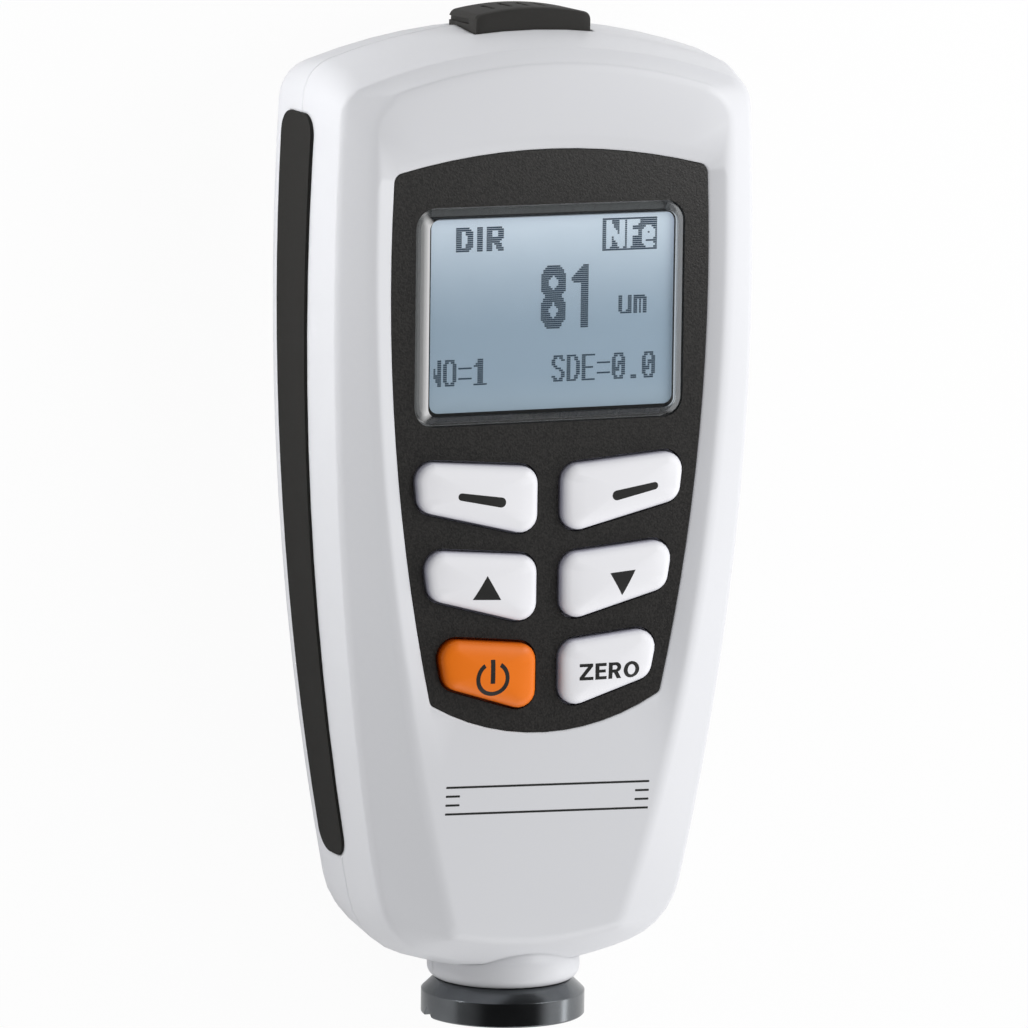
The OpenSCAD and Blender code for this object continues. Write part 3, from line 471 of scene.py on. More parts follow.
def soften_group(name, degrees):
    """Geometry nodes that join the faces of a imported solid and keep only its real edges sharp."""
    tree = bpy.data.node_groups.new(name, "GeometryNodeTree")
    tree.is_modifier = True
    for way in ("INPUT", "OUTPUT"):
        tree.interface.new_socket("Geometry", in_out=way, socket_type="NodeSocketGeometry")
    entry = tree.nodes.new("NodeGroupInput")
    leave = tree.nodes.new("NodeGroupOutput")
    merge = tree.nodes.new("GeometryNodeMergeByDistance")
    merge.inputs["Distance"].default_value = MERGE_DISTANCE
    angle = tree.nodes.new("GeometryNodeInputMeshEdgeAngle")
    sharp = tree.nodes.new("FunctionNodeCompare")
    sharp.operation = "GREATER_THAN"
    sharp.inputs[1].default_value = math.radians(degrees)
    tree.links.new(angle.outputs["Unsigned Angle"], sharp.inputs[0])
    chain = [entry.outputs[0], merge]
    for domain, smooth in (("FACE", True), ("EDGE", True), ("EDGE", False)):
        shade = tree.nodes.new("GeometryNodeSetShadeSmooth")
        shade.domain = domain
        shade.inputs["Shade Smooth"].default_value = smooth
        if not smooth:
            tree.links.new(sharp.outputs[0], shade.inputs["Selection"])
        chain.append(shade)
    chain.append(leave)
    source = chain[0]
    for step in chain[1:]:
        tree.links.new(source, step.inputs[0])
        source = step.outputs[0] if len(step.outputs) else None
    return tree


def soften(piece, group):
    """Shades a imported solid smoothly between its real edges."""
    piece.modifiers.new("join_faces", "NODES").node_group = group
    weigh = piece.modifiers.new("even_shading", "WEIGHTED_NORMAL")
    weigh.keep_sharp = True
    weigh.weight = 50


def dress(names, material, group):
    """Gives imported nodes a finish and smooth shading."""
    for name in names:
        piece = NODES[name]
        piece.data.materials.clear()
        piece.data.materials.append(material)
        soften(piece, group)


def mesh_piece(name, verts, faces, material, body):
    """New piece from points and faces, riding on a body."""
    mesh = bpy.data.meshes.new(name)
    mesh.from_pydata(verts, [], faces)
    mesh.validate()
    mesh.update()
    return place(bpy.data.objects.new(name, mesh), material, body)


def cut_out(name, solid, faces, material, group):
    """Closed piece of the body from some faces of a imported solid."""
    part = solid.copy()
    keep = {f.index for f in faces}
    bmesh.ops.delete(part, geom=[f for f in part.faces if f.index not in keep], context="FACES")
    bmesh.ops.holes_fill(part, edges=[e for e in part.edges if e.is_boundary])
    bmesh.ops.recalc_face_normals(part, faces=part.faces)
    mesh = bpy.data.meshes.new(name)
    part.to_mesh(mesh)
    part.free()
    piece = place(bpy.data.objects.new(name, mesh), material, "body")
    soften(piece, group)
    return piece


def joined_solid(node):
    """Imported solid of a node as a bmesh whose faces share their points."""
    solid = bmesh.new()
    solid.from_mesh(NODES[node].data)
    bmesh.ops.remove_doubles(solid, verts=solid.verts, dist=MERGE_DISTANCE)
    solid.faces.index_update()
    return solid


def place(piece, material, body):
    """Links a new piece, gives it its finish and sets it on its body."""
    bpy.context.scene.collection.objects.link(piece)
    piece.data.materials.clear()
    piece.data.materials.append(material)
    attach(piece, body)
    return piece


def rounded_loop(x, y, width, height, radius, steps=8):
    """Corners of a rounded rectangle about a middle, in metres."""
    loop = []
    for k, (sx, sy) in enumerate(((1, 1), (-1, 1), (-1, -1), (1, -1))):
        cx = x + sx * (width / 2 - radius)
        cy = y + sy * (height / 2 - radius)
        for i in range(steps + 1):
            a = math.radians(90 * k + 90 * i / steps)
            loop.append((cx + radius * math.cos(a), cy + radius * math.sin(a)))
    return loop


def capsule_loop(a, ra, b, rb, steps=10):
    """Bar with round ends of two radii."""
    start, end = Vector(a), Vector(b)
    way = end - start
    heading = math.atan2(way.y, way.x)
    flare = math.acos((ra - rb) / way.length)
    loop = []
    for centre, radius, first, last in (
        (start, ra, flare, 2 * math.pi - flare),
        (end, rb, -flare, flare),
    ):
        for i in range(steps + 1):
            t = heading + first + (last - first) * i / steps
            loop.append((centre.x + radius * math.cos(t), centre.y + radius * math.sin(t)))
    return loop


def filled(loops):
    """Flat triangles that fill closed loops, with inner loops as holes."""
    curve = bpy.data.curves.new("outline", "CURVE")
    curve.dimensions = "2D"
    curve.fill_mode = "BOTH"
    for loop in loops:
        spline = curve.splines.new("POLY")
        spline.points.add(len(loop) - 1)
        for point, (x, y) in zip(spline.points, loop):
            point.co = (x, y, 0, 1)
        spline.use_cyclic_u = True
    return flattened(curve)


def oval(x, y, half_x, half_y, first=0, last=360, steps=24):
    """Points of an oval arc in the unit box of a letter."""
    turns = [math.radians(first + (last - first) * i / steps) for i in range(steps + 1)]
    return [(x + half_x * math.cos(a), y + half_y * math.sin(a)) for a in turns]


# Bold letters as loops in a box one unit high, with their widths
LETTERS = {
    "Z": (0.86, [[(0, 1), (0.83, 1), (0.83, 0.83), (0.3, 0.19), (0.86, 0.19), (0.86, 0), (0, 0), (0, 0.17),
                  (0.52, 0.81), (0, 0.81)]]),
    "E": (0.72, [[(0, 0), (0, 1), (0.7, 1), (0.7, 0.81), (0.25, 0.81), (0.25, 0.6), (0.65, 0.6), (0.65, 0.42),
                  (0.25, 0.42), (0.25, 0.19), (0.72, 0.19), (0.72, 0)]]),
    "R": (0.84, [[(0, 0), (0, 1), *oval(0.48, 0.7, 0.31, 0.3, 90, -70), (0.84, 0), (0.55, 0), (0.34, 0.37),
                  (0.25, 0.37), (0.25, 0)],
                 [(0.25, 0.56), *oval(0.42, 0.69, 0.13, 0.13, -90, 90), (0.25, 0.82)]]),
    "O": (1.02, [oval(0.51, 0.5, 0.51, 0.51)[1:], oval(0.51, 0.5, 0.25, 0.32)[1:]]),
}


def word(text, width, height, x, y, gap=0.12):
    """Flat triangles of a word in bold letters, fitted to a box about a middle."""
    start, loops = 0.0, []
    for character in text:
        wide, outlines = LETTERS[character]
        loops += [[(start + u, v) for u, v in outline] for outline in outlines]
        start += wide + gap
    scale = width / (start - gap)
    return filled([[(x - width / 2 + u * scale, y + (v - 0.5) * height) for u, v in loop] for loop in loops])


def flattened(curve):
    """Mesh of a filled curve as bmesh triangles."""
    helper = bpy.data.objects.new("outline", curve)
    bpy.context.scene.collection.objects.link(helper)
    evaluated = helper.evaluated_get(bpy.context.evaluated_depsgraph_get())
    mesh = bpy.data.meshes.new_from_object(evaluated)
    flat = bmesh.new()
    flat.from_mesh(mesh)
    bpy.data.objects.remove(helper)
    bpy.data.curves.remove(curve)
    bpy.data.meshes.remove(mesh)
    bmesh.ops.remove_doubles(flat, verts=flat.verts, dist=FLAT_MERGE)
    bmesh.ops.triangulate(flat, faces=flat.faces)
    return flat


def print_on(name, flat, node, material, body, lift, reach):
    """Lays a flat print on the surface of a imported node, with edges cut down to reach."""
    for _ in range(MOST_CUTS):
        long_edges = [e for e in flat.edges if e.calc_length() > reach]
        if not long_edges:
            break
        bmesh.ops.subdivide_edges(flat, edges=long_edges, cuts=1)
        bmesh.ops.triangulate(flat, faces=flat.faces)
    mesh = NODES[node].data
    surface = BVHTree.FromPolygons([v.co for v in mesh.vertices], [p.vertices for p in mesh.polygons])
    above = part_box(node)[1].z + DROP_HEIGHT
    for v in flat.verts:
        hit = surface.ray_cast(Vector((v.co.x, v.co.y, above)), Vector((0, 0, -1)))[0]
        if hit is None:
            raise RuntimeError(f"{name} runs off {node}")
        v.co.z = hit.z + lift
    bmesh.ops.recalc_face_normals(flat, faces=flat.faces)
    if sum(f.normal.z for f in flat.faces) < 0:
        bmesh.ops.reverse_faces(flat, faces=flat.faces)
    made = bpy.data.meshes.new(name)
    flat.to_mesh(made)
    flat.free()
    made.shade_smooth()
    return place(bpy.data.objects.new(name, made), material, body)


# Strokes of the readout's characters in a unit box, where l stands for the large 1
ROUND = [(0.3, 0), (0, 0.18), (0, 0.82), (0.3, 1), (0.7, 1), (1, 0.82), (1, 0.18), (0.7, 0), (0.3, 0)]
STROKES = {
    "D": [[(0, 0), (0, 1), (0.6, 1), (1, 0.75), (1, 0.25), (0.6, 0), (0, 0)]],
    "I": [[(0.5, 0), (0.5, 1)]],
    "R": [[(0, 0), (0, 1), (0.75, 1), (1, 0.87), (1, 0.6), (0.75, 0.48), (0, 0.48)], [(0.5, 0.48), (1, 0)]],
    "N": [[(0, 0), (0, 1), (1, 0), (1, 1)]],
    "F": [[(0, 0), (0, 1), (1, 1)], [(0, 0.52), (0.75, 0.52)]],
    "e": [[(0, 0.36), (1, 0.36), (1, 0.52), (0.72, 0.7), (0.28, 0.7), (0, 0.52), (0, 0.16), (0.28, 0),
           (0.95, 0)]],
    "8": [[(0.25, 0.5), (0, 0.64), (0, 0.88), (0.25, 1), (0.75, 1), (1, 0.88), (1, 0.64), (0.75, 0.5),
           (0.25, 0.5), (0, 0.36), (0, 0.12), (0.25, 0), (0.75, 0), (1, 0.12), (1, 0.36), (0.75, 0.5)],
          *([(side, start), (inner, end)]
            for side, inner in ((0, 0.32), (1, 0.68))
            for start, end in ((0.79, 0.93), (0.71, 0.57), (0.21, 0.07), (0.29, 0.43)))],
    "1": [[(0, 0.78), (0.5, 1), (0.5, 0)], [(0, 0), (1, 0)]],
    "l": [[(0.2, 0.82), (0.8, 0.98), (0.8, -0.1)], [(0.1, 0.79), (0.8, 0.79)]],
    "u": [[(0, 0.62), (0, 0.12), (0.2, 0), (0.7, 0), (1, 0.14)], [(1, 0.62), (1, 0)]],
    "m": [[(0, 0), (0, 0.62)], [(0, 0.52), (0.2, 0.62), (0.4, 0.62), (0.5, 0.52), (0.5, 0)],
          [(0.5, 0.52), (0.7, 0.62), (0.9, 0.62), (1, 0.52), (1, 0)]],
    "O": [ROUND],
    "0": [ROUND, [(0.42, 0.33), (0.58, 0.67)]],
    "=": [[(0, 0.25), (1, 0.25)], [(0, 0.667), (1, 0.667)]],
    "S": [[(1, 0.8), (0.75, 1), (0.25, 1), (0, 0.84), (0, 0.66), (0.25, 0.54), (0.75, 0.46), (1, 0.34),
           (1, 0.16), (0.75, 0), (0.25, 0), (0, 0.2)]],
    "E": [[(1, 0), (0, 0), (0, 1), (1, 1)], [(0, 0.5), (0.7, 0.5)]],
    ".": [[(0.5, 0), (0.5, 0.1)]],
}

# Texts of the readout, in dots: left column, foot row, width, height, pitch, half stroke, flatness
READOUT_TEXTS = (
    ("DIR", 14.0, 78.5, 6.0, 10.0, 8.0, 1.45, 1.0),
    ("8", 59.6, 40.6, 8.8, 27.2, 0, 1.9, 1.0),
    ("l", 75.0, 40.6, 7.0, 27.4, 0, 2.1, 1.0),
    ("um", 99.5, 45.0, 5.0, 13.0, 8.0, 0.9, 1.4),
    ("NO=1", -0.5, 13.0, 5.0, 12.0, 8.0, 1.0, 1.6),
    ("SDE=0.0", 64.5, 13.0, 5.0, 12.0, 8.0, 1.0, 1.6),
)
# First column that the lit area shows
FIRST_COLUMN = 2
# Pale letters in a dark box: left column, width and half stroke
BOXED_LETTERS = (("N", 92.6, 7.0, 1.55), ("F", 103.7, 4.6, 1.45), ("e", 111.5, 4.8, 1.25))
BOXED_FOOT, BOXED_HEIGHT = 78.0, 11.4
BOX_COLUMNS, BOX_ROWS = range(90, 119), range(76, 92)
# Half width and half height of a dot as shares of the pitch
DOT_HALVES = (0.49, 0.4)


def off_stroke(x, y, a, b, flat):
    """Distance of a point from the line between two points, with heights multiplied by flat."""
    dx, dy = b[0] - a[0], b[1] - a[1]
    length = dx * dx + dy * dy
    t = 0 if length == 0 else max(0, min(1, ((x - a[0]) * dx + (y - a[1]) * dy) / length))
    return math.hypot(x - a[0] - t * dx, (y - a[1] - t * dy) * flat)


def letter_dots(character, left, low, wide, high, half, flat=1.0):
    """Columns and rows of the dots that a character's strokes cover."""
    lines = [[(left + x * wide, low + y * high) for x, y in stroke] for stroke in STROKES[character]]
    pairs = [pair for line in lines for pair in zip(line, line[1:])]
    side, over = 3, 2
    return {
        (c, r)
        for c in range(int(left - side), int(left + wide + side + 1))
        for r in range(round(low) - over, round(low + high) + over + 1)
        if any(off_stroke(c, r, a, b, flat) <= half for a, b in pairs)
    }


def readout_dots():
    """All dark dots of the readout, as columns from its left and rows from its foot."""
    lit = set()
    for text, left, low, wide, high, pitch, half, flat in READOUT_TEXTS:
        for i, character in enumerate(text):
            lit |= letter_dots(character, left + i * pitch, low, wide, high, half, flat)
    boxed = {(c, r) for c in BOX_COLUMNS for r in BOX_ROWS}
    inside = {(c, r) for c in BOX_COLUMNS[1:-1] for r in BOX_ROWS[1:-1]}
    for character, left, wide, half in BOXED_LETTERS:
        boxed -= letter_dots(character, left, BOXED_FOOT, wide, BOXED_HEIGHT, half) & inside
    return {(c, r) for c, r in lit | boxed if c >= FIRST_COLUMN}


def stage_lamp(name, power, span, place_at, aim):
    """Soft studio lamp that looks at a point."""
    lamp = bpy.data.lights.new(name, "AREA")
    lamp.energy = power
    lamp.shape = "RECTANGLE"
    lamp.size, lamp.size_y = span
    holder = bpy.data.objects.new(name, lamp)
    holder.location = place_at
    holder.rotation_mode = "QUATERNION"
    holder.rotation_quaternion = (Vector(aim) - Vector(place_at)).to_track_quat("-Z", "Y")
    bpy.context.scene.collection.objects.link(holder)


def backdrop(net, light, mirror):
    """Level of a backdrop: 1 to rays that see it, also through glass, mirror to reflections, else light."""
    seen = net.node("ShaderNodeLightPath", out="Is Camera Ray")
    outputs = seen.socket.node.outputs
    mirrored = Wire(net, outputs["Is Glossy Ray"])
    seen = seen.most(Wire(net, outputs["Is Transmission Ray"]))
    return seen + (1 - seen) * (mirrored * mirror + (1 - mirrored) * light)


class GAUGE_OT_stage(bpy.types.Operator):
    """Camera, lamps, white room and floor"""

    bl_idname = "gauge.stage"
    bl_label = "Studio"

    def execute(self, context):
        scene = context.scene
        scene.view_settings.view_transform = "Standard"
        self.camera(scene)
        self.room(scene)
        self.floor()
        for lamp in LAMPS:
            stage_lamp(*lamp)
        return {"FINISHED"}

    def camera(self, scene):
        """Looks down on the gauge from the left, at the angle of the photograph."""
        turn, rise, roll = (math.radians(a) for a in (CAMERA_TURN, CAMERA_RISE, CAMERA_ROLL))
        back = Vector((-math.sin(turn) * math.cos(rise), math.sin(rise), math.cos(turn) * math.cos(rise)))
        across = Vector((0, 1, 0)).cross(back).normalized()
        upward = back.cross(across)
        right = math.cos(roll) * across + math.sin(roll) * upward
        up = math.cos(roll) * upward - math.sin(roll) * across
        data = bpy.data.cameras.new("camera")
        data.sensor_width = SENSOR_MM
        data.lens = FOCAL_PX * SENSOR_MM / IMAGE_PX
        data.clip_start, data.clip_end = 0.05, 20
        holder = bpy.data.objects.new("camera", data)
        at = Vector(CAMERA_AIM) * MM + back * CAMERA_DISTANCE
        turned = Matrix((right, up, back)).transposed().to_4x4()
        holder.matrix_world = Matrix.Translation(at) @ turned
        scene.collection.objects.link(holder)
        scene.camera = holder

    def room(self, scene):
        """White room whose light comes mostly from the sides."""
        world = bpy.data.worlds.new("room")
        world.use_nodes = True
        world.cycles.sampling_method = "NONE"
        net = Net(world.node_tree)
        way = net.node("ShaderNodeTexCoord", out="Generated")
        front, side, right = (
            net.node("ShaderNodeVectorMath", {"operation": "DOT_PRODUCT"}, {0: way, 1: axis}, out="Value")
            for axis in ((-0.4, 0.1, 0.911), (0.92, 0.05, 0.0), (1.0, 0.0, 0.0))
        )
        base_light, base_mirror = 0.305, 0.04
        light = (1 - front.most(0.0)) * (side * 0.4 + 0.6) + base_light
        right_wall = right.step(0.42, 0.78) * 0.95
        left_wall = (right * -1.0).step(0.7, 1.0) * 0.25
        level = backdrop(net, light, right_wall + left_wall + base_mirror)
        glow = net.node("ShaderNodeBackground", None, {"Color": (1, 1, 1), "Strength": level})
        net.node("ShaderNodeOutputWorld", None, {"Surface": glow})
        scene.world = world

    def floor(self):
        """Pale floor that looks white and keeps a soft shadow."""
        f = Finish("floor")
        matt = f.node("ShaderNodeBsdfDiffuse", None, {"Color": (0.92, 0.92, 0.92)})
        white = f.node("ShaderNodeEmission", None, {"Color": (1, 1, 1), "Strength": 1.0})
        mirror = f.axis("X").step(-0.02, 0.06) * 0.85 + 0.1
        most_white = 0.94
        material = f.done(f.mix_shader(backdrop(f, 0.0, mirror) * most_white, matt, white))
        corners = [(x * FLOOR_HALF, y * FLOOR_HALF, -FLOOR_DROP) for x, y in SQUARE]
        mesh = bpy.data.meshes.new("floor")
        mesh.from_pydata(corners, [], [(0, 1, 2, 3)])
        mesh.materials.append(material)
        plane = bpy.data.objects.new("floor", mesh)
        bpy.context.scene.collection.objects.link(plane)


class GAUGE_OT_case(bpy.types.Operator):
    """Finishes of the shells, grips, covers and screws"""

    bl_idname = "gauge.case"
    bl_label = "Case"

    def execute(self, context):
        tones = context.scene.gauge_colours
        soft = soften_group("case_edges", degrees=28)
        pearl = moulded(
            "pearl_plastic", tones.shell, rough=0.42, grain_mm=0.18, depth_mm=0.012,
            drift=0.012, strength=0.12, coat=0.1, edge_mm=0.45,
        )
        grained = {"grain_mm": 0.16, "depth_mm": 0.03, "drift": 0.06, "strength": 0.5, "edge_mm": 0.15}
        rubber = moulded("grip_rubber", tones.rubber, rough=0.72, gloss=0.2, **grained)
        cover = moulded("cover_rubber", tones.cover, rough=0.66, gloss=0.25, **grained)
        dress(["front_shell", "rear_shell", "battery_cover"], pearl, soft)
        dress(["left_grip", "right_grip"], rubber, soft)
        dress(["usb_cover"], cover, soft)
        dress(["case_screws", "board_screws"], metal("screw_steel", tones.steel, rough=0.3), soft)
        return {"FINISHED"}


class GAUGE_OT_panel(bpy.types.Operator):
    """Finish of the front panel and the lens"""

    bl_idname = "gauge.panel"
    bl_label = "Panel and lens"

    def execute(self, context):
        tones = context.scene.gauge_colours
        soft = soften_group("panel_edges", degrees=30)
        charcoal = moulded(
            "panel_charcoal", tones.panel, rough=0.4, grain_mm=0.2, depth_mm=0.04,
            drift=0.08, strength=0.55, gloss=0.65, speckle=0.45,
        )
        dress(["front_panel"], charcoal, soft)
        dress(["display_window"], lens_finish("lens_clear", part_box("display_window")[0].x), soft)
        return {"FINISHED"}


class GAUGE_OT_display(bpy.types.Operator):
    """Readout under the lens, with its dots and the black print round it"""

    bl_idname = "gauge.display"
    bl_label = "Readout"

    def execute(self, context):
        tones = context.scene.gauge_colours
        sizes = context.scene.gauge_sizes
        low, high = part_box("display_window")
        glass_low, glass_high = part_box("lcd_glass")
        glass = glass_high - glass_low
        middle = (glass_low + glass_high) / 2
        x, y = (low.x + high.x) / 2 + FILM_SHIFT, (low.y + high.y) / 2 + FILM_SHIFT
        z = glass_high.z + FILM_LIFT
        wide, tall = sizes.readout_width, sizes.readout_height
        left, foot, top = x - wide / 2, y - tall / 2, y + tall / 2
        inner = rounded_loop(x, y, wide, tall, sizes.readout_corner)
        outer = rounded_loop(middle.x, middle.y, glass.x, glass.y, sizes.readout_corner)
        n = len(inner)
        pale = readout_finish("readout_pale", tones.readout_top, tones.readout_low, foot, top)
        mask = ink_finish("readout_mask", tones.mask)
        mesh_piece("readout_film", [(*p, z) for p in inner], [tuple(range(n))], pale, "body")
        ring = [(i, (i + 1) % n, n + (i + 1) % n, n + i) for i in range(n)]
        rim = [(*p, z) for p in outer] + [(*p, z + MASK_LIFT) for p in inner]
        mesh_piece("readout_mask", rim, ring, mask, "body")
        self.dots(left, foot, z + FILM_LIFT, sizes.dot_pitch, tones.dots)
        return {"FINISHED"}

    def dots(self, left, foot, z, pitch, dark):
        """Each dark dot as a small square with a fine gap to the next."""
        verts, faces = [], []
        half_x, half_y = (share * pitch for share in DOT_HALVES)
        for c, r in sorted(readout_dots()):
            x, y = left + (c + 0.5) * pitch, foot + (r + 0.5) * pitch
            k = len(verts)
            verts += [(x + sx * half_x, y + sy * half_y, z) for sx, sy in SQUARE]
            faces.append((k, k + 1, k + 2, k + 3))
        mesh_piece("readout_dots", verts, faces, ink_finish("readout_dark", dark), "body")


class GAUGE_OT_keys(bpy.types.Operator):
    """Key caps and the symbols printed on them"""

    bl_idname = "gauge.keys"
    bl_label = "Keys"

    def execute(self, context):
        tones = context.scene.gauge_colours
        sizes = context.scene.gauge_sizes
        soft = soften_group("key_edges", degrees=40)
        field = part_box("front_panel")[1].z
        white = key_cap_finish("key_white", tones.key, tones.key_foot_shade, field)
        orange = key_cap_finish("key_orange", tones.power, tones.power_foot_shade, field)
        dress([key for key in KEYS if key != "power_key"], white, soft)
        dress(["power_key"], orange, soft)
        ink = ink_finish("key_ink", tones.ink)
        prints = {
            "left_soft_key": [self.bar(*LEFT_BAR, sizes)],
            "right_soft_key": [self.bar(*RIGHT_BAR, sizes)],
            "up_key": [self.points(*UP_CORNERS)],
            "down_key": [self.points(*DOWN_CORNERS)],
            "power_key": self.power(sizes),
        }
        flats = {key: filled(loops) for key, loops in prints.items()}
        x, y = self.points(ZERO_MIDDLE)[0]
        flats["zero_key"] = word("ZERO", sizes.word_width, sizes.word_height, x, y)
        for key, flat in flats.items():
            print_on(key + "_symbol", flat, key, ink, key, sizes.symbol_lift, KEY_REACH)
        return {"FINISHED"}

    def points(self, *corners):
        """Points given in millimetres."""
        return [(x * MM, y * MM) for x, y in corners]

    def bar(self, outer, inner, sizes):
        """Bar of a soft key, thicker at its inner end."""
        start, end = self.points(outer, inner)
        return capsule_loop(start, sizes.bar_outer, end, sizes.bar_inner)

    def power(self, sizes):
        """Open ring and a bar in its gap."""
        x, y = self.points(POWER_MIDDLE)[0]
        gap = math.radians(POWER_OPENING)
        steps = 40
        bar_up, bar_long, bar_corner = 0.74 * MM, 2.6 * MM, 0.05 * MM
        bar_wide = sizes.ring_stroke * 1.12
        loop = []
        for radius, first, last in (
            (sizes.ring_radius + sizes.ring_stroke / 2, gap, 2 * math.pi - gap),
            (sizes.ring_radius - sizes.ring_stroke / 2, 2 * math.pi - gap, gap),
        ):
            for i in range(steps + 1):
                a = math.pi / 2 + first + (last - first) * i / steps
                loop.append((x + radius * math.cos(a), y + radius * math.sin(a)))
        return [loop, rounded_loop(x, y + bar_up, bar_wide, bar_long, bar_corner, steps=3)]


class GAUGE_OT_lines(bpy.types.Operator):
    """Printed lines on the lower facet, round a bare field"""

    bl_idname = "gauge.lines"
    bl_label = "Printed lines"

    def execute(self, context):
        sizes = context.scene.gauge_sizes
        ink = ink_finish("line_ink", context.scene.gauge_colours.ink)
        middle = Vector(LINES_MIDDLE) * MM
        tilt = Matrix.Rotation(math.radians(LINES_TILT), 2)
        side = (sizes.rule_length - sizes.dash_length) / 2
        corner = sizes.rule_width / 4
        rows = [(0, row, sizes.rule_length) for row in (LONG_ROW, -LONG_ROW)]
        rows += [(s * side, row, sizes.dash_length) for s in (-1, 1) for row in (-SHORT_ROW, SHORT_ROW)]
        loops = []
        for x, row, length in rows:
            loop = rounded_loop(x, row * sizes.rule_gap, length, sizes.rule_width, corner, steps=2)
            loops.append([middle + tilt @ Vector(p) for p in loop])
        flat = filled(loops)
        print_on("facet_lines", flat, "front_shell", ink, "body", sizes.symbol_lift, LINE_REACH)
        return {"FINISHED"}


class GAUGE_OT_probe(bpy.types.Operator):
    """Finishes of the probe"""

    bl_idname = "gauge.probe"
    bl_label = "Probe"

    def execute(self, context):
        tones = context.scene.gauge_colours
        soft = soften_group("probe_edges", degrees=30)
        dress(["probe_sleeve"], dark_metal("sleeve_black", tones.sleeve), soft)
        dress(["probe_plunger"], metal("tip_steel", tones.steel, rough=0.24), soft)
        dress(["probe_coil"], metal("coil_copper", tones.copper, rough=0.34), soft)
        plug = moulded("plug_black", tones.rubber, rough=0.6, grain_mm=0.2, depth_mm=0.02, drift=0.05)
        dress(["probe_plug", "probe_lead"], plug, soft)
        return {"FINISHED"}


class GAUGE_OT_soft(bpy.types.Operator):
    """Pads of the keypad mat and the return spring of the probe, which give way in the gauge, as pieces with
    meshes of their own
    """

    bl_idname = "gauge.soft"
    bl_label = "Mat and spring"

    def execute(self, context):
        tones = context.scene.gauge_colours
        sizes = context.scene.gauge_sizes
        soft = soften_group("soft_edges", degrees=30)
        silicone = moulded(
            "silicone_grey", tones.silicone, rough=0.62, grain_mm=0.25, depth_mm=0.02, drift=0.04
        )
        self.mat(silicone, sizes, soft)
        solid = joined_solid("probe_spring")
        nickel = metal("spring_nickel", tones.nickel, rough=0.3)
        spring = cut_out("spring_wire", solid, solid.faces, nickel, soft)
        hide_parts("probe_spring")
        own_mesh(spring)
        solid.free()
        return {"FINISHED"}

    def mat(self, silicone, sizes, soft):
        """Plate of the mat, and a pad of its own under each key, which the key flattens in the gauge."""
        solid = joined_solid("keypad_mat")
        low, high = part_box("keypad_mat")
        floor = low.z + sizes.mat_thickness
        slack = 0.05 * MM
        heights = {f: [v.co.z for v in f.verts] for f in solid.faces}
        raised = [f for f, z in heights.items() if min(z) > floor - slack and max(z) > floor + slack]
        centres = [f.calc_center_median() for f in raised]
        taken = set(raised)
        rest = [f for f in solid.faces if f not in taken]
        plate = cut_out("mat_plate", solid, rest, silicone, soft)
        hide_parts("keypad_mat")
        for key in KEYS:
            near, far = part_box(key)
            under = [f for f, c in zip(raised, centres) if near.x < c.x < far.x and near.y < c.y < far.y]
            pad = cut_out(key + "_pad", solid, under, silicone, soft)
            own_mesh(pad)
        solid.free()


class GAUGE_OT_power(bpy.types.Operator):
    """Finishes of the cells, their contacts and the USB socket"""

    bl_idname = "gauge.power"
    bl_label = "Power"

    def execute(self, context):
        tones = context.scene.gauge_colours
        soft = soften_group("power_edges", degrees=30)
        nickel = metal("contact_nickel", tones.nickel, rough=0.28)
        dress(["contact_springs", "contact_plates", "usb_socket"], nickel, soft)
        # The right cell lies the other way round
        for name, share, low_tone, high_tone in (
            ("battery_left", 0.72, tones.wrap, tones.nickel),
            ("battery_right", 0.28, tones.nickel, tones.wrap),
        ):
            low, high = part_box(name)
            split = low.y + (high.y - low.y) * share
            dress([name], wrap_finish(name + "_wrap", low_tone, high_tone, split), soft)
        return {"FINISHED"}


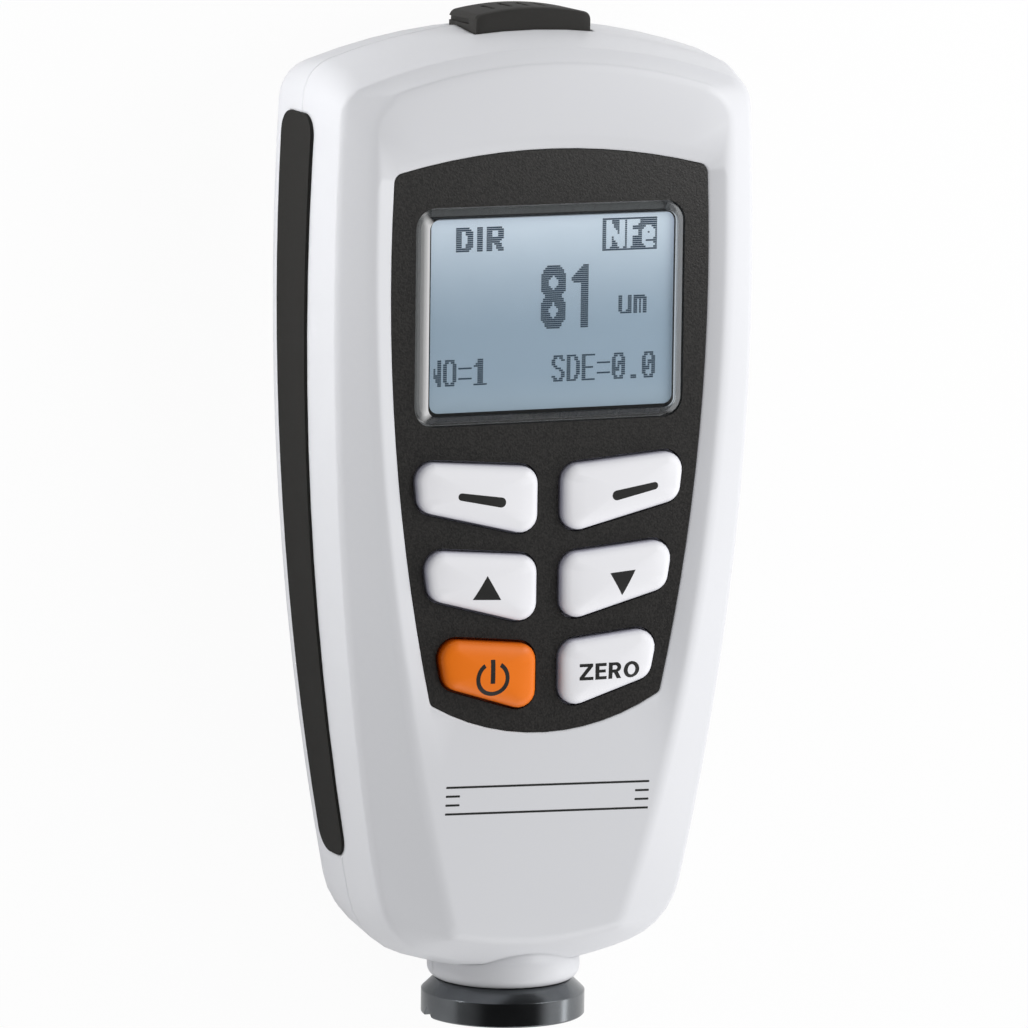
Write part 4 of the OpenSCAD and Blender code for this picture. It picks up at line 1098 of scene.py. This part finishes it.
class GAUGE_OT_inside(bpy.types.Operator):
    """Finishes of the board and the display stack"""

    bl_idname = "gauge.inside"
    bl_label = "Inside"

    def execute(self, context):
        tones = context.scene.gauge_colours
        soft = soften_group("inside_edges", degrees=30)
        dress(["main_board"], board_finish("solder_mask", tones.board), soft)
        # Finish, colour, roughness, grain and depth in millimetres, and drift of each layer
        for node, *finish in (
            ("lcd_frame", "frame_white", tones.guide, 0.5, 0.3, 0.02, 0.03),
            ("backlight", "light_guide", tones.guide, 0.25, 0.4, 0.01, 0.02),
            ("lcd_glass", "display_glass", tones.readout_low, 0.15, 0.5, 0.005, 0.03),
        ):
            dress([node], moulded(*finish), soft)
        return {"FINISHED"}


OPERATORS = (
    GAUGE_OT_stage,
    GAUGE_OT_case,
    GAUGE_OT_panel,
    GAUGE_OT_display,
    GAUGE_OT_keys,
    GAUGE_OT_lines,
    GAUGE_OT_probe,
    GAUGE_OT_soft,
    GAUGE_OT_power,
    GAUGE_OT_inside,
)


class GAUGE_PT_looks(bpy.types.Panel):
    """Lists what the add-on makes"""

    bl_label = "Gauge looks"
    bl_space_type = "VIEW_3D"
    bl_region_type = "UI"
    bl_category = "Gauge"

    def draw(self, context):
        for operator in OPERATORS:
            self.layout.operator(operator.bl_idname)
        for group in (context.scene.gauge_sizes, context.scene.gauge_colours):
            column = self.layout.column()
            for name in group.bl_rna.properties.keys():
                if name not in ("rna_type", "name"):
                    column.prop(group, name)


CLASSES = (GaugeSizes, GaugeColours, *OPERATORS, GAUGE_PT_looks)


def register():
    for cls in CLASSES:
        bpy.utils.register_class(cls)
    bpy.types.Scene.gauge_sizes = PointerProperty(type=GaugeSizes)
    bpy.types.Scene.gauge_colours = PointerProperty(type=GaugeColours)


def unregister():
    del bpy.types.Scene.gauge_colours
    del bpy.types.Scene.gauge_sizes
    for cls in reversed(CLASSES):
        bpy.utils.unregister_class(cls)


def main():
    register()
    bpy.ops.gauge.stage()
    bpy.ops.gauge.case()
    bpy.ops.gauge.panel()
    bpy.ops.gauge.display()
    bpy.ops.gauge.keys()
    bpy.ops.gauge.lines()
    bpy.ops.gauge.probe()
    bpy.ops.gauge.soft()
    bpy.ops.gauge.power()
    bpy.ops.gauge.inside()


if __name__ == "__main__":
    main()
